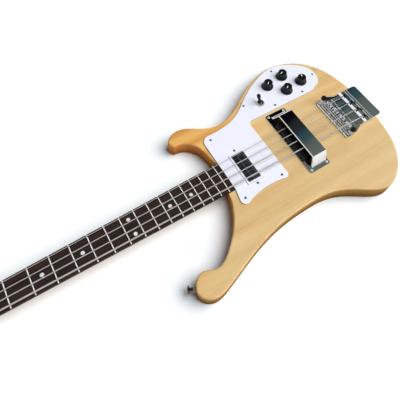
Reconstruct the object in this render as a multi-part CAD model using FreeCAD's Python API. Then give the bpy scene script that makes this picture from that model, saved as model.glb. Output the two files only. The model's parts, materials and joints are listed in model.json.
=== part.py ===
import FreeCAD, Part
import math
import os

# Four-string electric bass guitar with a solid two-horned body, a glued-in neck and a tray-shaped tailpiece.
# It lies on its back. Lengths are millimetres and angles are degrees.
# +Z is up, the neck runs towards -X and +Y is the treble side.
# The origin is on the back of the body, on the centreline, one scale length from the nut.

Vec = FreeCAD.Vector
UP = Vec(0, 0, 1)
ALONG = Vec(1, 0, 0)
ACROSS = Vec(0, 1, 0)

# Strings, from the bass side to the treble side
scale_length = 845.0
string_names = ("e", "a", "d", "g")
string_diameters = (2.67, 2.03, 1.65, 1.14)
nut_spacing = 10.1
bridge_spacing = 18.2
action_at_nut = 0.5
action_at_bridge = 5.5
string_fall_behind_saddle = 0.02
kink_radius = 25.0
ball_radius = 3.2
ball_width = 5.0

# Body
body_thickness = 32.0
body_edge_round = 3.0
# Outlines and places on the body are distances from the end of the fretboard and from the centreline
# The treble cutaway, from beside the neck to the point of the treble horn
cutaway_points = [(-5, 52), (-13, 80), (-28, 95), (-48, 100)]
# The rim, from the point of the treble horn round the tail to the bass cutaway
rim_points = [(-48, 100), (-54, 112), (-33, 128.5), (15, 111), (49, 101.5), (95, 118), (143, 148),
              (220, 171), (298, 135), (326, 75), (333, 10), (328, -57), (300, -126), (237, -160),
              (186, -135), (144, -117), (95, -113.5), (34, -118), (-27, -133), (-91, -156), (-128, -159),
              (-141, -143), (-133, -123), (-119, -116.5), (-100, -123), (-61, -105), (-34, -76)]
# Where the body's edge meets the neck, as distance from the end of the fretboard and room beside it
treble_root = (-1.0, 1.8)
bass_root = (-13.0, 3.3)

# Neck and head
neck_rise = 1.5
neck_depth_at_nut = 16.0
neck_depth_at_heel = 20.5
nut_width = 38.0
last_fret_width = 57.0
tenon_length = 23.0
tenon_shoulder = 0.5
tenon_floor = 12.0
glue_gap = 0.05
head_step = 6.0
head_thickness = 14.0
head_edge_round = 1.5
# Half of the head's outline, as distance from the nut and half-width
head_points = [(14, 19.5), (32, 30), (52, 36.5), (86, 34.5), (122, 32.5), (146, 31), (158, 20), (161, 0)]
volute_length = 26.0

# Truss rod
rod_radius = 2.5
rod_slot_gap = 0.2
rod_depth = 10.0
rod_end_inset = 20.0
rod_nut_radius = 3.6
rod_nut_length = 14.0
rod_cover_length = 34.0
rod_cover_width = 20.0
rod_cover_thickness = 2.0

# Fretboard and frets
fret_count = 20
board_thickness = 5.5
board_radius = 254.0
board_overhang = 11.16
fret_width = 2.0
fret_height = 1.1
fret_crown_round = 0.7
fret_end_inset = 0.4
tang_width = 0.6
tang_depth = 2.2
dot_radius = 3.2
dot_depth = 1.5
single_dot_frets = (3, 5, 7, 9, 15, 17)
double_dot_fret = 12
double_dot_spread = 27.0
inlay_gap = 0.02
nut_thickness = 5.0
nut_cheek = 1.2
nut_slot_gap = 0.03

# Pickguard
guard_thickness = 2.3
guard_gap_at_board = 1.5
guard_length = 98.0
guard_plate_gap = 5.6
guard_front_corner = 14.0
guard_corner = 8.0
guard_shoulder = 88.0
# The edge over the treble bout, from the shoulder by the neck round the knobs to the straight side
guard_lobe = [(52, 90), (81, 98), (123, 126), (171, 154), (223, 166.5), (261, 153.5), (286, 131), (291.8, 113),
              (288.5, 97), (279, 86), (266, 81)]
guard_lobe_run = 20.0
guard_lobe_ease = 40.0
guard_tail_middle = (51, -51)
guard_tip = [(12, -58.5), (0.5, -58.8), (-3, -50)]
# Guard screws round the lobe and at the tip, along the straight side, by the shoulder and by the tail corner
guard_rim_screws = [(113, 113), (214, 159), (285.5, 110.5), (7, -50)]
guard_side_screws = (169, 238)
guard_side_screw_inset = 7.5
shoulder_screw_inset = (14.5, 10.0)
tail_corner_screw = (11.5, -46.0)
cavity_points = [(131, 91), (275, 91), (277, 112), (259, 137), (223, 152), (173, 141), (131, 114)]
cavity_corner = 9.0
cavity_floor = 8.0
wire_hole_radius = 4.0

# Screws
small_screw_radius = 1.5
small_screw_head = 2.7
small_screw_length = 12.0
cover_screw_length = 7.0
screw_hole_gap = 0.05
head_dome = 0.45

# Knobs and their controls
knob_places = [(183, 129.5), (224, 136.5), (251.5, 107), (211.5, 102)]
knob_skirt_radius = 11.8
knob_grip_radius = 8.8
knob_height = 14.5
knob_skirt_height = 2.2
knob_neck_height = 5.8
knob_waist = 0.8
knob_top_bevel = 1.2
knob_flutes = 10
knob_flute_radius = 1.6
knob_lift = 0.8
knob_recess_radius = 7.5
knob_recess_depth = 3.4
spindle_radius = 3.0
spindle_socket = 9.0
running_gap = 0.06
press_gap = 0.02
pot_radius = 8.0
pot_height = 10.0
pot_thread_radius = 4.6
pot_nut_radius = 6.2
pot_nut_height = 2.0
hole_gap = 0.1

# Toggle switch
toggle_place = (146.0, 102.0)
toggle_lean = 18.0
toggle_heading = 120.0
toggle_pivot_rise = 1.0
toggle_ball_gap = 0.4
toggle_thread_wall = 1.1
toggle_nut_wall = 2.6
toggle_nut_height = 3.0
toggle_nut_bevel = 1.8
toggle_nut_flutes = 20
toggle_nut_flute_radius = 0.4
toggle_lever_height = 26.0
toggle_ball_radius = 4.5
toggle_rod_radius = 2.8
toggle_tip_radius = 3.8
toggle_tip_length = 11.0
toggle_frame_size = 17.0
toggle_frame_depth = 16.0

# Neck pickup
neck_pickup_from_tenon = 5.85
neck_pickup_length = 25.3
neck_pickup_width = 58.6
neck_pickup_height = 4.4
neck_pickup_depth = 14.0
neck_pickup_case_round = 0.8
neck_pickup_bar_length = 12.0
neck_pickup_bar_shift = 2.8
neck_pickup_bar_inset = 5.0
neck_pickup_bar_height = 1.4
neck_pickup_bar_bevel = 1.0
bezel_wall = 3.4
bezel_rise = 1.2
bezel_gap = 0.2
pickup_screw_gap = 8.2
pickup_cavity_gap = 2.0
pickup_floor_gap = 2.0

# Bridge pickup
bridge_plate_from_board = 135.2
bridge_plate_length = 45.6
bridge_plate_ear = 8.0
bridge_plate_thickness = 1.5
bridge_plate_corner = 4.0
bridge_plate_screw_inset = 5.0
bridge_pickup_inset = 3.3
bridge_pickup_length = 32.0
bridge_pickup_width = 86.0
bridge_pickup_height = 7.0
bridge_pickup_depth = 16.0
bridge_pickup_gap = 0.3
bridge_pickup_round = 1.0
cover_length = 31.0
cover_top_width = 103.0
cover_foot_width = 121.6
cover_flange = 2.2
cover_string_gap = 2.57
cover_wall = 1.5
cover_bend = 3.0
cover_edge_round = 0.2
cover_edge_bevel = 0.9
cover_rake = 5.0

# Tailpiece
tail_rear = 80.3
tail_flare = 8.0
tail_front_length = 22.0
tail_front_corner = 5.0
tail_rear_corner = 8.0
tail_floor = 2.0
tail_lip = 3.0
tail_lip_height = 4.0
tail_lip_bevel = 1.3
tail_wall = 3.4
tail_wall_height = 9.5
comb_from_bridge = 16.4
comb_length = 9.0
comb_height = 16.0
comb_fall = 3.2
comb_slot_gap = 0.8
trough_gap = 4.6
trough_depth = 8.5
tail_plate_height = 12.0
tail_plate_bevel = 1.0
tail_ridge_step = 1.2
tail_ridge_width = 3.0
tail_hollow_wall = 3.0
tail_screw_places = (-22.0, 0.0, 22.0)
tail_screw_from_comb = 5.0
large_screw_radius = 2.0
large_screw_head = 3.4
large_screw_length = 18.0

# Bridge, saddles and their screws
bridge_front = -3.0
bridge_length = 19.0
bridge_side_gap = 0.3
bridge_stand = 1.0
bridge_floor = 2.0
bridge_wall = 2.0
bridge_wall_height = 8.0
saddle_compensation = 4.5
saddle_length = 8.0
saddle_side_gap = 3.2
saddle_end_gap = 0.5
saddle_crown_length = 3.0
saddle_shoulder = 2.2
saddle_gap = 0.2
saddle_groove_gap = 0.5
string_gap = 0.3
intonation_height = 5.5
intonation_radius = 1.4
intonation_head_radius = 2.3
intonation_head_length = 2.2
height_screw_radius = 1.5
height_screw_inset = 4.8

# Mute under the strings
mute_bridge_gap = 1.2
mute_length = 5.0
mute_side_wall = 1.8
mute_gap = 0.4
mute_bar_lift = 2.0
mute_bar_thickness = 3.0
mute_bar_bevel = 1.0
mute_lug_length = 7.0
mute_pad_width = 68.0
mute_pad_length = 3.0
mute_pad_height = 2.6
thumbscrew_inset = 2.7
thumbscrew_radius = 2.0
thumbscrew_head_radius = 5.0
thumbscrew_head_height = 9.0
thumbscrew_flutes = 16
thumbscrew_flute_radius = 0.5
thumbscrew_clear = 3.2

# Output jack, at a point of the rim beside the knobs
jack_rim_point = 7
jack_height = 17.0
jack_recess = 4.0
ferrule_radius = 12.0
ferrule_thickness = 3.0
jack_thread_radius = 5.8
jack_bore_radius = 3.225
jack_length = 22.0
jack_nut_radius = 8.0
jack_nut_height = 2.0

# Strap buttons, at points of the rim, with the way that each faces along the neck
button_seat_depth = 0.6
strap_button_radius = 7.0
strap_button_waist = 4.0
strap_button_length = 13.0
strap_button_flange = 2.2
strap_button_bevel = 1.0
strap_button_places = [(-139.5, -130.5), (333, 10)]
strap_button_height = 16.0
strap_screw_length = 36.0

# Tuning machines, near pair and far pair
post_from_nut = (118.0, 48.0)
post_spread = (42.0, 50.0)
post_radius = 5.0
post_cap_radius = 6.0
post_cap_height = 1.6
post_slot = 2.0
winding_turns = 2
winding_gap = 0.5
winding_clear = 1.0
bushing_radius = 8.5
bushing_flange = 2.0
bushing_sleeve_radius = 7.0
housing_length = 27.0
housing_inner = 9.5
housing_outer = 12.0
housing_depth = 9.0
housing_round = 2.0
shaft_radius = 2.5
shaft_reach = 8.0
button_width = 16.4
button_length = 21.0
button_thickness = 7.0
button_bevel = 0.8
button_clear = 3.0
tuner_screw_spread = 21.0

# Levels and places that follow from the sizes above
face_z = body_thickness
neck_top = face_z + neck_rise
board_top = neck_top + board_thickness
fret_top = board_top + fret_height
guard_top = face_z + guard_thickness
nut_x = -scale_length
last_fret_x = nut_x * 2 ** (-fret_count / 12)
board_end = last_fret_x + board_overhang
rod_end = board_end - rod_end_inset
guard_front = board_end + guard_gap_at_board
guard_rear = guard_front + guard_length
tenon_end = board_end + tenon_length
tenon_width = last_fret_width - 2 * tenon_shoulder
neck_pickup_centre = tenon_end + neck_pickup_from_tenon + neck_pickup_length / 2
pickup_screw_spread = neck_pickup_width + 2 * pickup_screw_gap
bridge_plate_front = board_end + bridge_plate_from_board
bridge_plate_rear = bridge_plate_front + bridge_plate_length
bridge_plate_width = cover_foot_width + 2 * (cover_flange + bridge_plate_ear)
bridge_pickup_front = bridge_plate_front + bridge_pickup_inset
guard_side = bridge_plate_width / 2 + guard_plate_gap
knob_spots = [(board_end + x, y) for x, y in knob_places]
toggle_spot = (board_end + toggle_place[0], toggle_place[1])
toggle_bore_radius = toggle_ball_radius + toggle_ball_gap
toggle_thread_radius = toggle_bore_radius + toggle_thread_wall
toggle_nut_radius = toggle_thread_radius + toggle_nut_wall
jack_x = board_end + rim_points[jack_rim_point][0]
jack_seat = rim_points[jack_rim_point][1] - jack_recess
head_top = neck_top - head_step
head_back = head_top - head_thickness
housing_z = head_back - housing_depth
shaft_z = head_back - housing_depth / 2
plate_top = face_z + bridge_plate_thickness
tray_z = face_z + tail_floor
bridge_z = tray_z + bridge_stand
intonation_z = bridge_z + intonation_height
bridge_rear = bridge_front + bridge_length
saddle_width = bridge_spacing - saddle_side_gap
bridge_width = (len(string_names) - 1) * bridge_spacing + saddle_width + 2 * saddle_end_gap
height_screw_spread = bridge_width - 2 * height_screw_inset
mute_rear = bridge_front - mute_bridge_gap
mute_front = mute_rear - mute_length
mute_lug_rear = mute_rear + mute_lug_length
tail_front = mute_front - mute_gap - tail_lip
tail_rear_width = bridge_width + 2 * (tail_wall + bridge_side_gap)
tail_front_width = tail_rear_width + 2 * tail_flare
mute_width = tail_front_width - 2 * mute_side_wall
thumbscrew_spread = mute_width - 2 * thumbscrew_inset
comb_front = bridge_rear + comb_from_bridge
comb_rear = comb_front + comb_length
trough_length = 2 * ball_radius + trough_gap
tail_screw_x = comb_front - tail_screw_from_comb
# How far a cutting solid runs past what it cuts
cut_past = 1.0
# How near to a level an edge counts as lying on it
edge_reach = 0.1
bushing_top = head_top + bushing_flange


def block(low, high):
    size = Vec(*high) - Vec(*low)
    return Part.makeBox(size.x, size.y, size.z, Vec(*low))


def rod(start, direction, radius, length):
    return Part.makeCylinder(radius, length, Vec(*start), Vec(*direction))


def line(start, end):
    return Part.LineSegment(start, end).toShape()


def arc(start, middle, end):
    return Part.Arc(start, middle, end).toShape()


def curve(points, start_tangent=None, end_tangent=None):
    spline = Part.BSplineCurve()
    if start_tangent:
        spline.interpolate(Points=points, InitialTangent=start_tangent, FinalTangent=end_tangent)
    else:
        spline.interpolate(Points=points)
    return spline.toShape()


def on_level(points, z):
    return [Vec(x, y, z) for x, y in points]


def prism(edges, rise):
    return Part.Face(Part.Wire(edges)).extrude(rise)


def corner_arc(before, corner, after, radius):
    """Start, middle and end of the arc that rounds a corner."""
    back = (before - corner).normalize()
    ahead = (after - corner).normalize()
    half = back.getAngle(ahead) / 2
    trim = radius / math.tan(half)
    middle = corner + (back + ahead).normalize() * (radius / math.sin(half) - radius)
    return corner + back * trim, middle, corner + ahead * trim


def rounded_loop(points, radii):
    """Edges of a closed polygon whose corners are rounded."""
    count = len(points)
    arcs = [corner_arc(points[i - 1], points[i], points[(i + 1) % count], radii[i]) for i in range(count)]
    edges = []
    for i in range(count):
        edges.append(arc(*arcs[i]))
        edges.append(line(arcs[i][2], arcs[(i + 1) % count][0]))
    return edges


def rounded_plate(x0, x1, width, radius, z0, z1):
    points = on_level([(x0, -width / 2), (x1, -width / 2), (x1, width / 2), (x0, width / 2)], z0)
    return prism(rounded_loop(points, [radius] * 4), Vec(0, 0, z1 - z0))


def side_prism(profile, width):
    """A solid of one width across the body from an outline seen from the side."""
    points = [Vec(x, -width / 2, z) for x, z in profile]
    return Part.Face(Part.makePolygon(points + points[:1])).extrude(ACROSS * width)


def turned(profile, place, axis=UP):
    """A solid of revolution from (radius, height) points, with its axis moved to a place and direction."""
    points = [Vec(radius, 0, height) for radius, height in profile]
    solid = Part.Face(Part.makePolygon(points + points[:1])).revolve(Vec(0, 0, 0), UP, 360)
    solid.Placement = FreeCAD.Placement(Vec(*place), FreeCAD.Rotation(UP, axis))
    return solid


def screw(place, axis, radius, head, length):
    """A domed screw whose head rests on the place and whose shank runs against the axis."""
    rise = head * head_dome
    profile = [(0, -length), (radius, -length), (radius, 0), (head, 0), (head, rise / 2), (head / 2, rise),
               (0, rise)]
    return turned(profile, place, axis)


def screw_hole(place, axis, radius, length):
    start = Vec(*place) - axis * (length + screw_hole_gap)
    return Part.makeCylinder(radius + screw_hole_gap, length + body_thickness, start, axis)


def fret_x(number):
    return -scale_length * 2 ** (-number / 12)


def half_width(x):
    """Half of the neck's width at a place along it."""
    share = (x - nut_x) / (fret_x(fret_count) - nut_x)
    return (nut_width + (last_fret_width - nut_width) * share) / 2


def crown_drop(y):
    """How far the rounded fretboard falls away from its middle."""
    return board_radius - math.sqrt(board_radius ** 2 - y ** 2)


def crown_profile(x, half, bottom, top):
    """A face across the neck between a flat or rounded bottom and a rounded top at a height on the middle."""
    fall = crown_drop(half)
    if bottom is None:
        bottom = board_top
        lower = [arc(Vec(x, -half, bottom - fall), Vec(x, 0, bottom), Vec(x, half, bottom - fall))]
        foot = bottom - fall
    else:
        lower = [line(Vec(x, -half, bottom), Vec(x, half, bottom))]
        foot = bottom
    upper = [line(Vec(x, half, foot), Vec(x, half, top - fall)),
             arc(Vec(x, half, top - fall), Vec(x, 0, top), Vec(x, -half, top - fall)),
             line(Vec(x, -half, top - fall), Vec(x, -half, foot))]
    return Part.Face(Part.Wire(lower + upper))


def string_place(index, x):
    """The middle of a string between the nut and the saddle, or behind the saddle."""
    radius = string_diameters[index] / 2
    step = index - (len(string_names) - 1) / 2
    share = (x - nut_x) / scale_length
    y = step * (nut_spacing + (bridge_spacing - nut_spacing) * share)
    low = fret_top - crown_drop(step * nut_spacing) + action_at_nut + radius
    high = fret_top - crown_drop(step * bridge_spacing) + action_at_bridge + radius
    reach = (min(x, saddle_compensation) - nut_x) / (saddle_compensation - nut_x)
    fall = max(0, x - saddle_compensation) * string_fall_behind_saddle
    return Vec(x, y, low + (high - low) * reach - fall)


def post_place(index):
    """Middle of a tuning post: the inner strings go to the far pair, the outer ones to the near pair."""
    outer = index in (0, len(string_names) - 1)
    side = -1 if index < len(string_names) / 2 else 1
    return nut_x - post_from_nut[outer], side * post_spread[outer] / 2, side


def from_board(points):
    """Places on the body, from their distances to the end of the fretboard."""
    return [(board_end + x, y) for x, y in points]


def body_outline(z):
    edge = half_width(board_end)
    treble = (board_end + treble_root[0], edge + treble_root[1])
    bass = (board_end + bass_root[0], -edge - bass_root[1])
    cutaway = curve(on_level([treble] + from_board(cutaway_points), z))
    rim = curve(on_level(from_board(rim_points) + [bass], z))
    return [cutaway, rim, line(Vec(*bass, z), Vec(*treble, z))]


def guard_screw_places():
    places = from_board(guard_rim_screws)
    places += from_board([(x, guard_side + guard_side_screw_inset) for x in guard_side_screws])
    places.append((guard_front + shoulder_screw_inset[0], guard_shoulder - shoulder_screw_inset[1]))
    places.append((guard_rear - tail_corner_screw[0], tail_corner_screw[1]))
    return places


def guard_outline(z):
    lobe_points = from_board(guard_lobe)
    lobe_start = (guard_front + guard_front_corner, guard_shoulder)
    lobe_end = (lobe_points[-1][0] - guard_lobe_run, guard_side)
    lobe = curve(on_level([lobe_start] + lobe_points + [lobe_end], z), ALONG * guard_lobe_ease,
                 ALONG * -guard_lobe_ease)
    shoulder_y = guard_shoulder - guard_front_corner
    slant = guard_front_corner * (1 - math.sqrt(0.5))
    front = Vec(guard_front, shoulder_y, z)
    shoulder = arc(front, Vec(guard_front + slant, guard_shoulder - slant, z), Vec(*lobe_start, z))
    tip = on_level(from_board(guard_tip), z)
    tail_middle = Vec(*from_board([guard_tail_middle])[0], z)
    tail_corner = Vec(guard_rear, guard_tip[0][1] + guard_corner / 2, z)
    inner = corner_arc(Vec(*lobe_end, z), Vec(guard_rear, guard_side, z), tail_corner, guard_corner)
    tail = corner_arc(Vec(guard_rear, guard_side, z), tail_corner, tail_corner - ALONG, guard_corner)
    neck_corner = Vec(guard_front, -half_width(board_end), z)
    return [line(neck_corner, front), shoulder, lobe, line(Vec(*lobe_end, z), inner[0]), arc(*inner),
            line(inner[2], tail[0]), arc(*tail), arc(tail[2], tail_middle, tip[0]),
            arc(*tip), line(tip[2], neck_corner)]


def make_body():
    whole = prism(body_outline(0), UP * body_thickness)
    rounded = []
    for edge in whole.Edges:
        middle = edge.valueAt((edge.FirstParameter + edge.LastParameter) / 2)
        flat = abs(edge.tangentAt(edge.FirstParameter).z) < 0.5
        beside_neck = abs(middle.y) < tenon_width / 2
        if flat and not beside_neck:
            rounded.append(edge)
    return whole.makeFillet(body_edge_round, rounded)


def make_control_cavity():
    corners = on_level(from_board(cavity_points), cavity_floor)
    loop = rounded_loop(corners, [cavity_corner] * len(corners))
    return prism(loop, UP * body_thickness)


def make_neck_pocket():
    half = tenon_width / 2 + glue_gap
    return block((nut_x, -half, tenon_floor), (tenon_end + glue_gap, half, body_thickness * 2))


def pickup_well(front, rear, width, depth):
    gap = pickup_cavity_gap
    floor = face_z - depth - pickup_floor_gap
    return rounded_plate(front - gap, rear + gap, width + 2 * gap, 2 * gap, floor, 2 * face_z)


def neck_section(x, depth):
    half = half_width(x)
    left = Vec(x, -half, neck_top)
    right = Vec(x, half, neck_top)
    return Part.Wire([line(left, right), arc(right, Vec(x, 0, neck_top - depth), left)])


def make_head():
    half = [Vec(nut_x - reach, side, head_back) for reach, side in head_points]
    mirrored = [Vec(p.x, -p.y, p.z) for p in half]
    cheek = curve(half[:-2])
    other = curve(mirrored[:-2])
    end = arc(half[-3], half[-1], mirrored[-3])
    slab = prism([cheek, end, other, line(mirrored[0], half[0])], UP * head_thickness)
    rim = [edge for edge in slab.Edges if abs(edge.tangentAt(edge.FirstParameter).z) < 0.5]
    far = [edge for edge in rim if edge.CenterOfMass.x < half[0].x - cut_past]
    return slab.makeFillet(head_edge_round, far)


def make_neck():
    heel_x = board_end + bass_root[0] - neck_depth_at_heel
    volute_end = nut_x - volute_length
    sections = [neck_section(volute_end, neck_top - head_back), neck_section(nut_x, neck_depth_at_nut),
                neck_section(heel_x, neck_depth_at_heel),
                neck_section(board_end, neck_top - tenon_floor - glue_gap)]
    volute, shaft, heel = [Part.makeLoft(list(pair), True, True) for pair in zip(sections, sections[1:])]
    step_x = nut_x - nut_thickness
    notch = block((volute_end - cut_past, -nut_width, head_top),
                  (step_x - head_step, nut_width, neck_top + cut_past))
    scoop = rod((step_x - head_step, -nut_width, neck_top), (0, 1, 0), head_step, 2 * nut_width)
    volute = volute.cut(notch).cut(scoop)
    half = tenon_width / 2
    strip = block((nut_x, -half, tenon_floor + glue_gap), (tenon_end, half, face_z))
    bed = block((nut_x, -half, face_z), (board_end, half, neck_top))
    tenon = prism(body_outline(0), UP * neck_top).common(strip.fuse(bed))
    neck = shaft.fuse([heel, volute, make_head(), tenon]).removeSplitter()
    slot_half = rod_radius + rod_slot_gap
    slot_floor = neck_top - rod_depth - slot_half
    slot = block((nut_x - rod_cover_length + rod_nut_length, -slot_half, slot_floor),
                 (rod_end + rod_slot_gap, slot_half, neck_top))
    pocket_half = rod_nut_radius + rod_slot_gap
    pocket_floor = neck_top - rod_depth - pocket_half
    pocket = block((nut_x - rod_cover_length + rod_slot_gap, -pocket_half, pocket_floor),
                   (nut_x - nut_thickness - head_step, pocket_half, neck_top))
    neck = neck.cut(slot.fuse(pocket))
    for index in range(len(string_names)):
        x, y, _ = post_place(index)
        neck = neck.cut(rod((x, y, 0), UP, bushing_sleeve_radius + hole_gap, neck_top))
    return neck


def make_truss_rod():
    z = neck_top - rod_depth
    start = nut_x - rod_cover_length + rod_nut_length / 2
    bar = rod((start, 0, z), ALONG, rod_radius, rod_end - start)
    nut = rod((nut_x - rod_cover_length + 2 * rod_slot_gap, 0, z), ALONG, rod_nut_radius, rod_nut_length)
    bolt = bar.fuse(nut)
    return bolt.cut(rod((nut_x - rod_cover_length, 0, z), ALONG, rod_radius * 0.7, rod_nut_length * 0.6))


def rod_cover_screw_places():
    far = nut_x - nut_thickness - head_step - rod_cover_length + small_screw_head
    return [(far, 0), (far + rod_cover_length - 3 * small_screw_head, rod_cover_width / 2 - small_screw_head),
            (far + rod_cover_length - 3 * small_screw_head, small_screw_head - rod_cover_width / 2)]


def make_rod_cover():
    near = nut_x - nut_thickness - head_step
    far = near - rod_cover_length
    half = rod_cover_width / 2
    tip = small_screw_head
    points = on_level([(near, -half), (near, half), (far, tip), (far, -tip)], head_top)
    radii = [rod_cover_thickness, rod_cover_thickness, tip, tip]
    cover = prism(rounded_loop(points, radii), UP * rod_cover_thickness)
    for x, y in rod_cover_screw_places():
        cover = cover.cut(screw_hole((x, y, head_top), UP, small_screw_radius, rod_cover_thickness))
    return cover


def board_plan(z):
    near = half_width(nut_x)
    far = half_width(board_end)
    corners = on_level([(nut_x, -near), (board_end, -far), (board_end, far), (nut_x, near)], z)
    return Part.makePolygon(corners + corners[:1])


def fret_tang(x):
    half = half_width(x) - fret_end_inset
    profile = crown_profile(x - tang_width / 2, half, board_top - crown_drop(half) - tang_depth, board_top)
    return profile.extrude(ALONG * tang_width)


def make_fret(number):
    x = fret_x(number)
    half = half_width(x) - fret_end_inset
    crown = crown_profile(x - fret_width / 2, half, None, fret_top).extrude(ALONG * fret_width)
    ridges = [edge for edge in crown.Edges if edge.CenterOfMass.z > board_top and edge.Length > half]
    crown = crown.makeFillet(fret_crown_round, ridges)
    return crown.fuse(fret_tang(x))


def dot_places():
    spots = [(number, 0.0) for number in single_dot_frets]
    spots += [(double_dot_fret, double_dot_spread / 2), (double_dot_fret, -double_dot_spread / 2)]
    return [((fret_x(number - 1) + fret_x(number)) / 2, y) for number, y in spots]


def crown_cylinder():
    return rod((nut_x, 0, board_top - board_radius), ALONG, board_radius, board_end - nut_x)


def make_dot(x, y, gap):
    level = board_top - crown_drop(abs(y) + dot_radius) - dot_depth - gap
    return rod((x, y, level), UP, dot_radius + gap, dot_depth * 3).common(crown_cylinder())


def make_fretboard():
    board = Part.Face(board_plan(neck_top)).extrude(UP * board_thickness).common(crown_cylinder())
    for number in range(1, fret_count + 1):
        x = fret_x(number)
        half = half_width(x)
        floor = board_top - crown_drop(half - fret_end_inset) - tang_depth - inlay_gap
        reach = tang_width / 2 + inlay_gap
        board = board.cut(block((x - reach, -2 * half, floor), (x + reach, 2 * half, fret_top)))
    for x, y in dot_places():
        board = board.cut(make_dot(x, y, inlay_gap))
    return board


def make_nut():
    half = nut_width / 2
    top = fret_top + action_at_nut + string_diameters[0] / 2 + nut_cheek
    nut = crown_profile(nut_x - nut_thickness, half, neck_top, top).extrude(ALONG * nut_thickness)
    for index in range(len(string_names)):
        centre = string_place(index, nut_x)
        reach = string_diameters[index] / 2 + nut_slot_gap
        channel = rod((nut_x - 2 * nut_thickness, centre.y, centre.z), ALONG, reach, 4 * nut_thickness)
        mouth = block((nut_x - 2 * nut_thickness, centre.y - reach, centre.z),
                      (nut_x + nut_thickness, centre.y + reach, centre.z + 4 * nut_thickness))
        ramp = mouth.fuse(channel)
        ramp.rotate(Vec(nut_x, centre.y, centre.z), ACROSS, -string_head_angle(index))
        nut = nut.cut(ramp)
    return nut


def winding_start(index):
    """Where a string meets its winding, with the angle there, the turning sense, the radius and the pitch."""
    x, y, side = post_place(index)
    diameter = string_diameters[index]
    radius = post_radius + string_gap + diameter / 2
    pitch = diameter + winding_gap
    sense = -side
    nut_point = string_place(index, nut_x)
    away = Vec(nut_point.x - x, nut_point.y - y, 0)
    angle = math.atan2(away.y, away.x) + sense * math.acos(radius / away.Length)
    z = bushing_top + winding_clear + diameter / 2 + pitch * winding_turns
    return Vec(x + radius * math.cos(angle), y + radius * math.sin(angle), z), angle, sense, radius, pitch


def string_head_angle(index):
    """Fall of a string between the nut and its post."""
    run = winding_start(index)[0] - string_place(index, nut_x)
    return math.degrees(math.atan2(-run.z, abs(run.x)))


def biarc(p0, t0, p1, t1):
    """Two arcs that leave one point and reach another along the given directions."""
    chord = p1 - p0
    both = t0 + t1
    spread = 2 * (1 - t0.dot(t1))
    reach = (math.sqrt(chord.dot(both) ** 2 + spread * chord.dot(chord)) - chord.dot(both)) / spread
    q0 = p0 + t0 * reach
    q1 = p1 - t1 * reach
    joint = (q0 + q1) * 0.5
    edges = []
    for start, knee, end in ((p0, q0, joint), (joint, q1, p1)):
        base = (start + end) * 0.5
        half_turn = (knee - start).getAngle(end - knee) / 2
        rise = (end - start).Length / 2 * math.tan(half_turn / 2)
        edges.append(arc(start, base + (knee - base).normalize() * rise, end))
    return edges


def winding_points(index, steps):
    """Places and directions along a string's winding, a number of steps to each turn."""
    start, angle, sense, radius, pitch = winding_start(index)
    x, y, _ = post_place(index)
    result = []
    for step in range(steps * winding_turns + 1):
        turn = 2 * math.pi * step / steps
        a = angle + sense * turn
        z = start.z - pitch * step / steps
        place = Vec(x + radius * math.cos(a), y + radius * math.sin(a), z)
        heading = Vec(-sense * radius * math.sin(a), sense * radius * math.cos(a), -pitch / (2 * math.pi))
        result.append((place, heading.normalize()))
    return result


def winding_self_gap(index):
    """Least clear gap between one turn of a winding and the next, measured on points."""
    steps = 36
    points = [place for place, _ in winding_points(index, steps)]
    apart = []
    for number, point in enumerate(points):
        apart += [(point - other).Length for other in points[number + steps // 2:]]
    return min(apart) - string_diameters[index]


def make_string(index):
    diameter = string_diameters[index]
    ball_x = comb_rear + ball_radius + hole_gap
    tail = string_place(index, ball_x)
    saddle = string_place(index, saddle_compensation)
    nut_point = string_place(index, nut_x)
    turns = winding_points(index, 4)
    post = turns[0][0]
    at_saddle = corner_arc(tail, saddle, nut_point, kink_radius)
    at_nut = corner_arc(saddle, nut_point, post, kink_radius)
    edges = [line(tail, at_saddle[0]), arc(*at_saddle), line(at_saddle[2], at_nut[0]), arc(*at_nut),
             line(at_nut[2], post)]
    turns[0] = (post, (post - nut_point).normalize())
    for (p0, t0), (p1, t1) in zip(turns, turns[1:]):
        edges += biarc(p0, t0, p1, t1)
    last, heading = turns[-1]
    edges.append(line(last, last + heading * diameter))
    section = Part.Wire(Part.Circle(tail, saddle - tail, diameter / 2).toShape())
    wire = Part.Wire(edges).makePipeShell([section], True, False)
    ball = rod((tail.x, tail.y - ball_width / 2, tail.z), ACROSS, ball_radius, ball_width)
    return wire.fuse(ball)


def make_pickguard():
    guard = prism(guard_outline(face_z), UP * guard_thickness)
    above = guard_top + cut_past
    for x, y in knob_spots:
        guard = guard.cut(rod((x, y, 0), UP, pot_thread_radius + hole_gap, above))
    guard = guard.cut(rod((*toggle_spot, 0), UP, toggle_thread_radius + hole_gap, above))
    reach = neck_pickup_length / 2 + bezel_wall + 2 * bezel_gap
    width = neck_pickup_width + 2 * bezel_wall + 4 * bezel_gap
    guard = guard.cut(block((neck_pickup_centre - reach, -width / 2, 0),
                            (neck_pickup_centre + reach, width / 2, above)))
    for x, y in guard_screw_places() + neck_pickup_screw_places():
        guard = guard.cut(screw_hole((x, y, guard_top), UP, small_screw_radius, small_screw_length))
    return guard


def neck_pickup_screw_places():
    return [(neck_pickup_centre, pickup_screw_spread / 2), (neck_pickup_centre, -pickup_screw_spread / 2)]


def make_bezel():
    reach = neck_pickup_length / 2 + bezel_gap
    width = neck_pickup_width + 2 * bezel_gap
    outer = block((neck_pickup_centre - reach - bezel_wall, -width / 2 - bezel_wall, face_z),
                  (neck_pickup_centre + reach + bezel_wall, width / 2 + bezel_wall, guard_top + bezel_rise))
    inner = block((neck_pickup_centre - reach, -width / 2, 0),
                  (neck_pickup_centre + reach, width / 2, 2 * guard_top))
    return outer.cut(inner)


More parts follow.
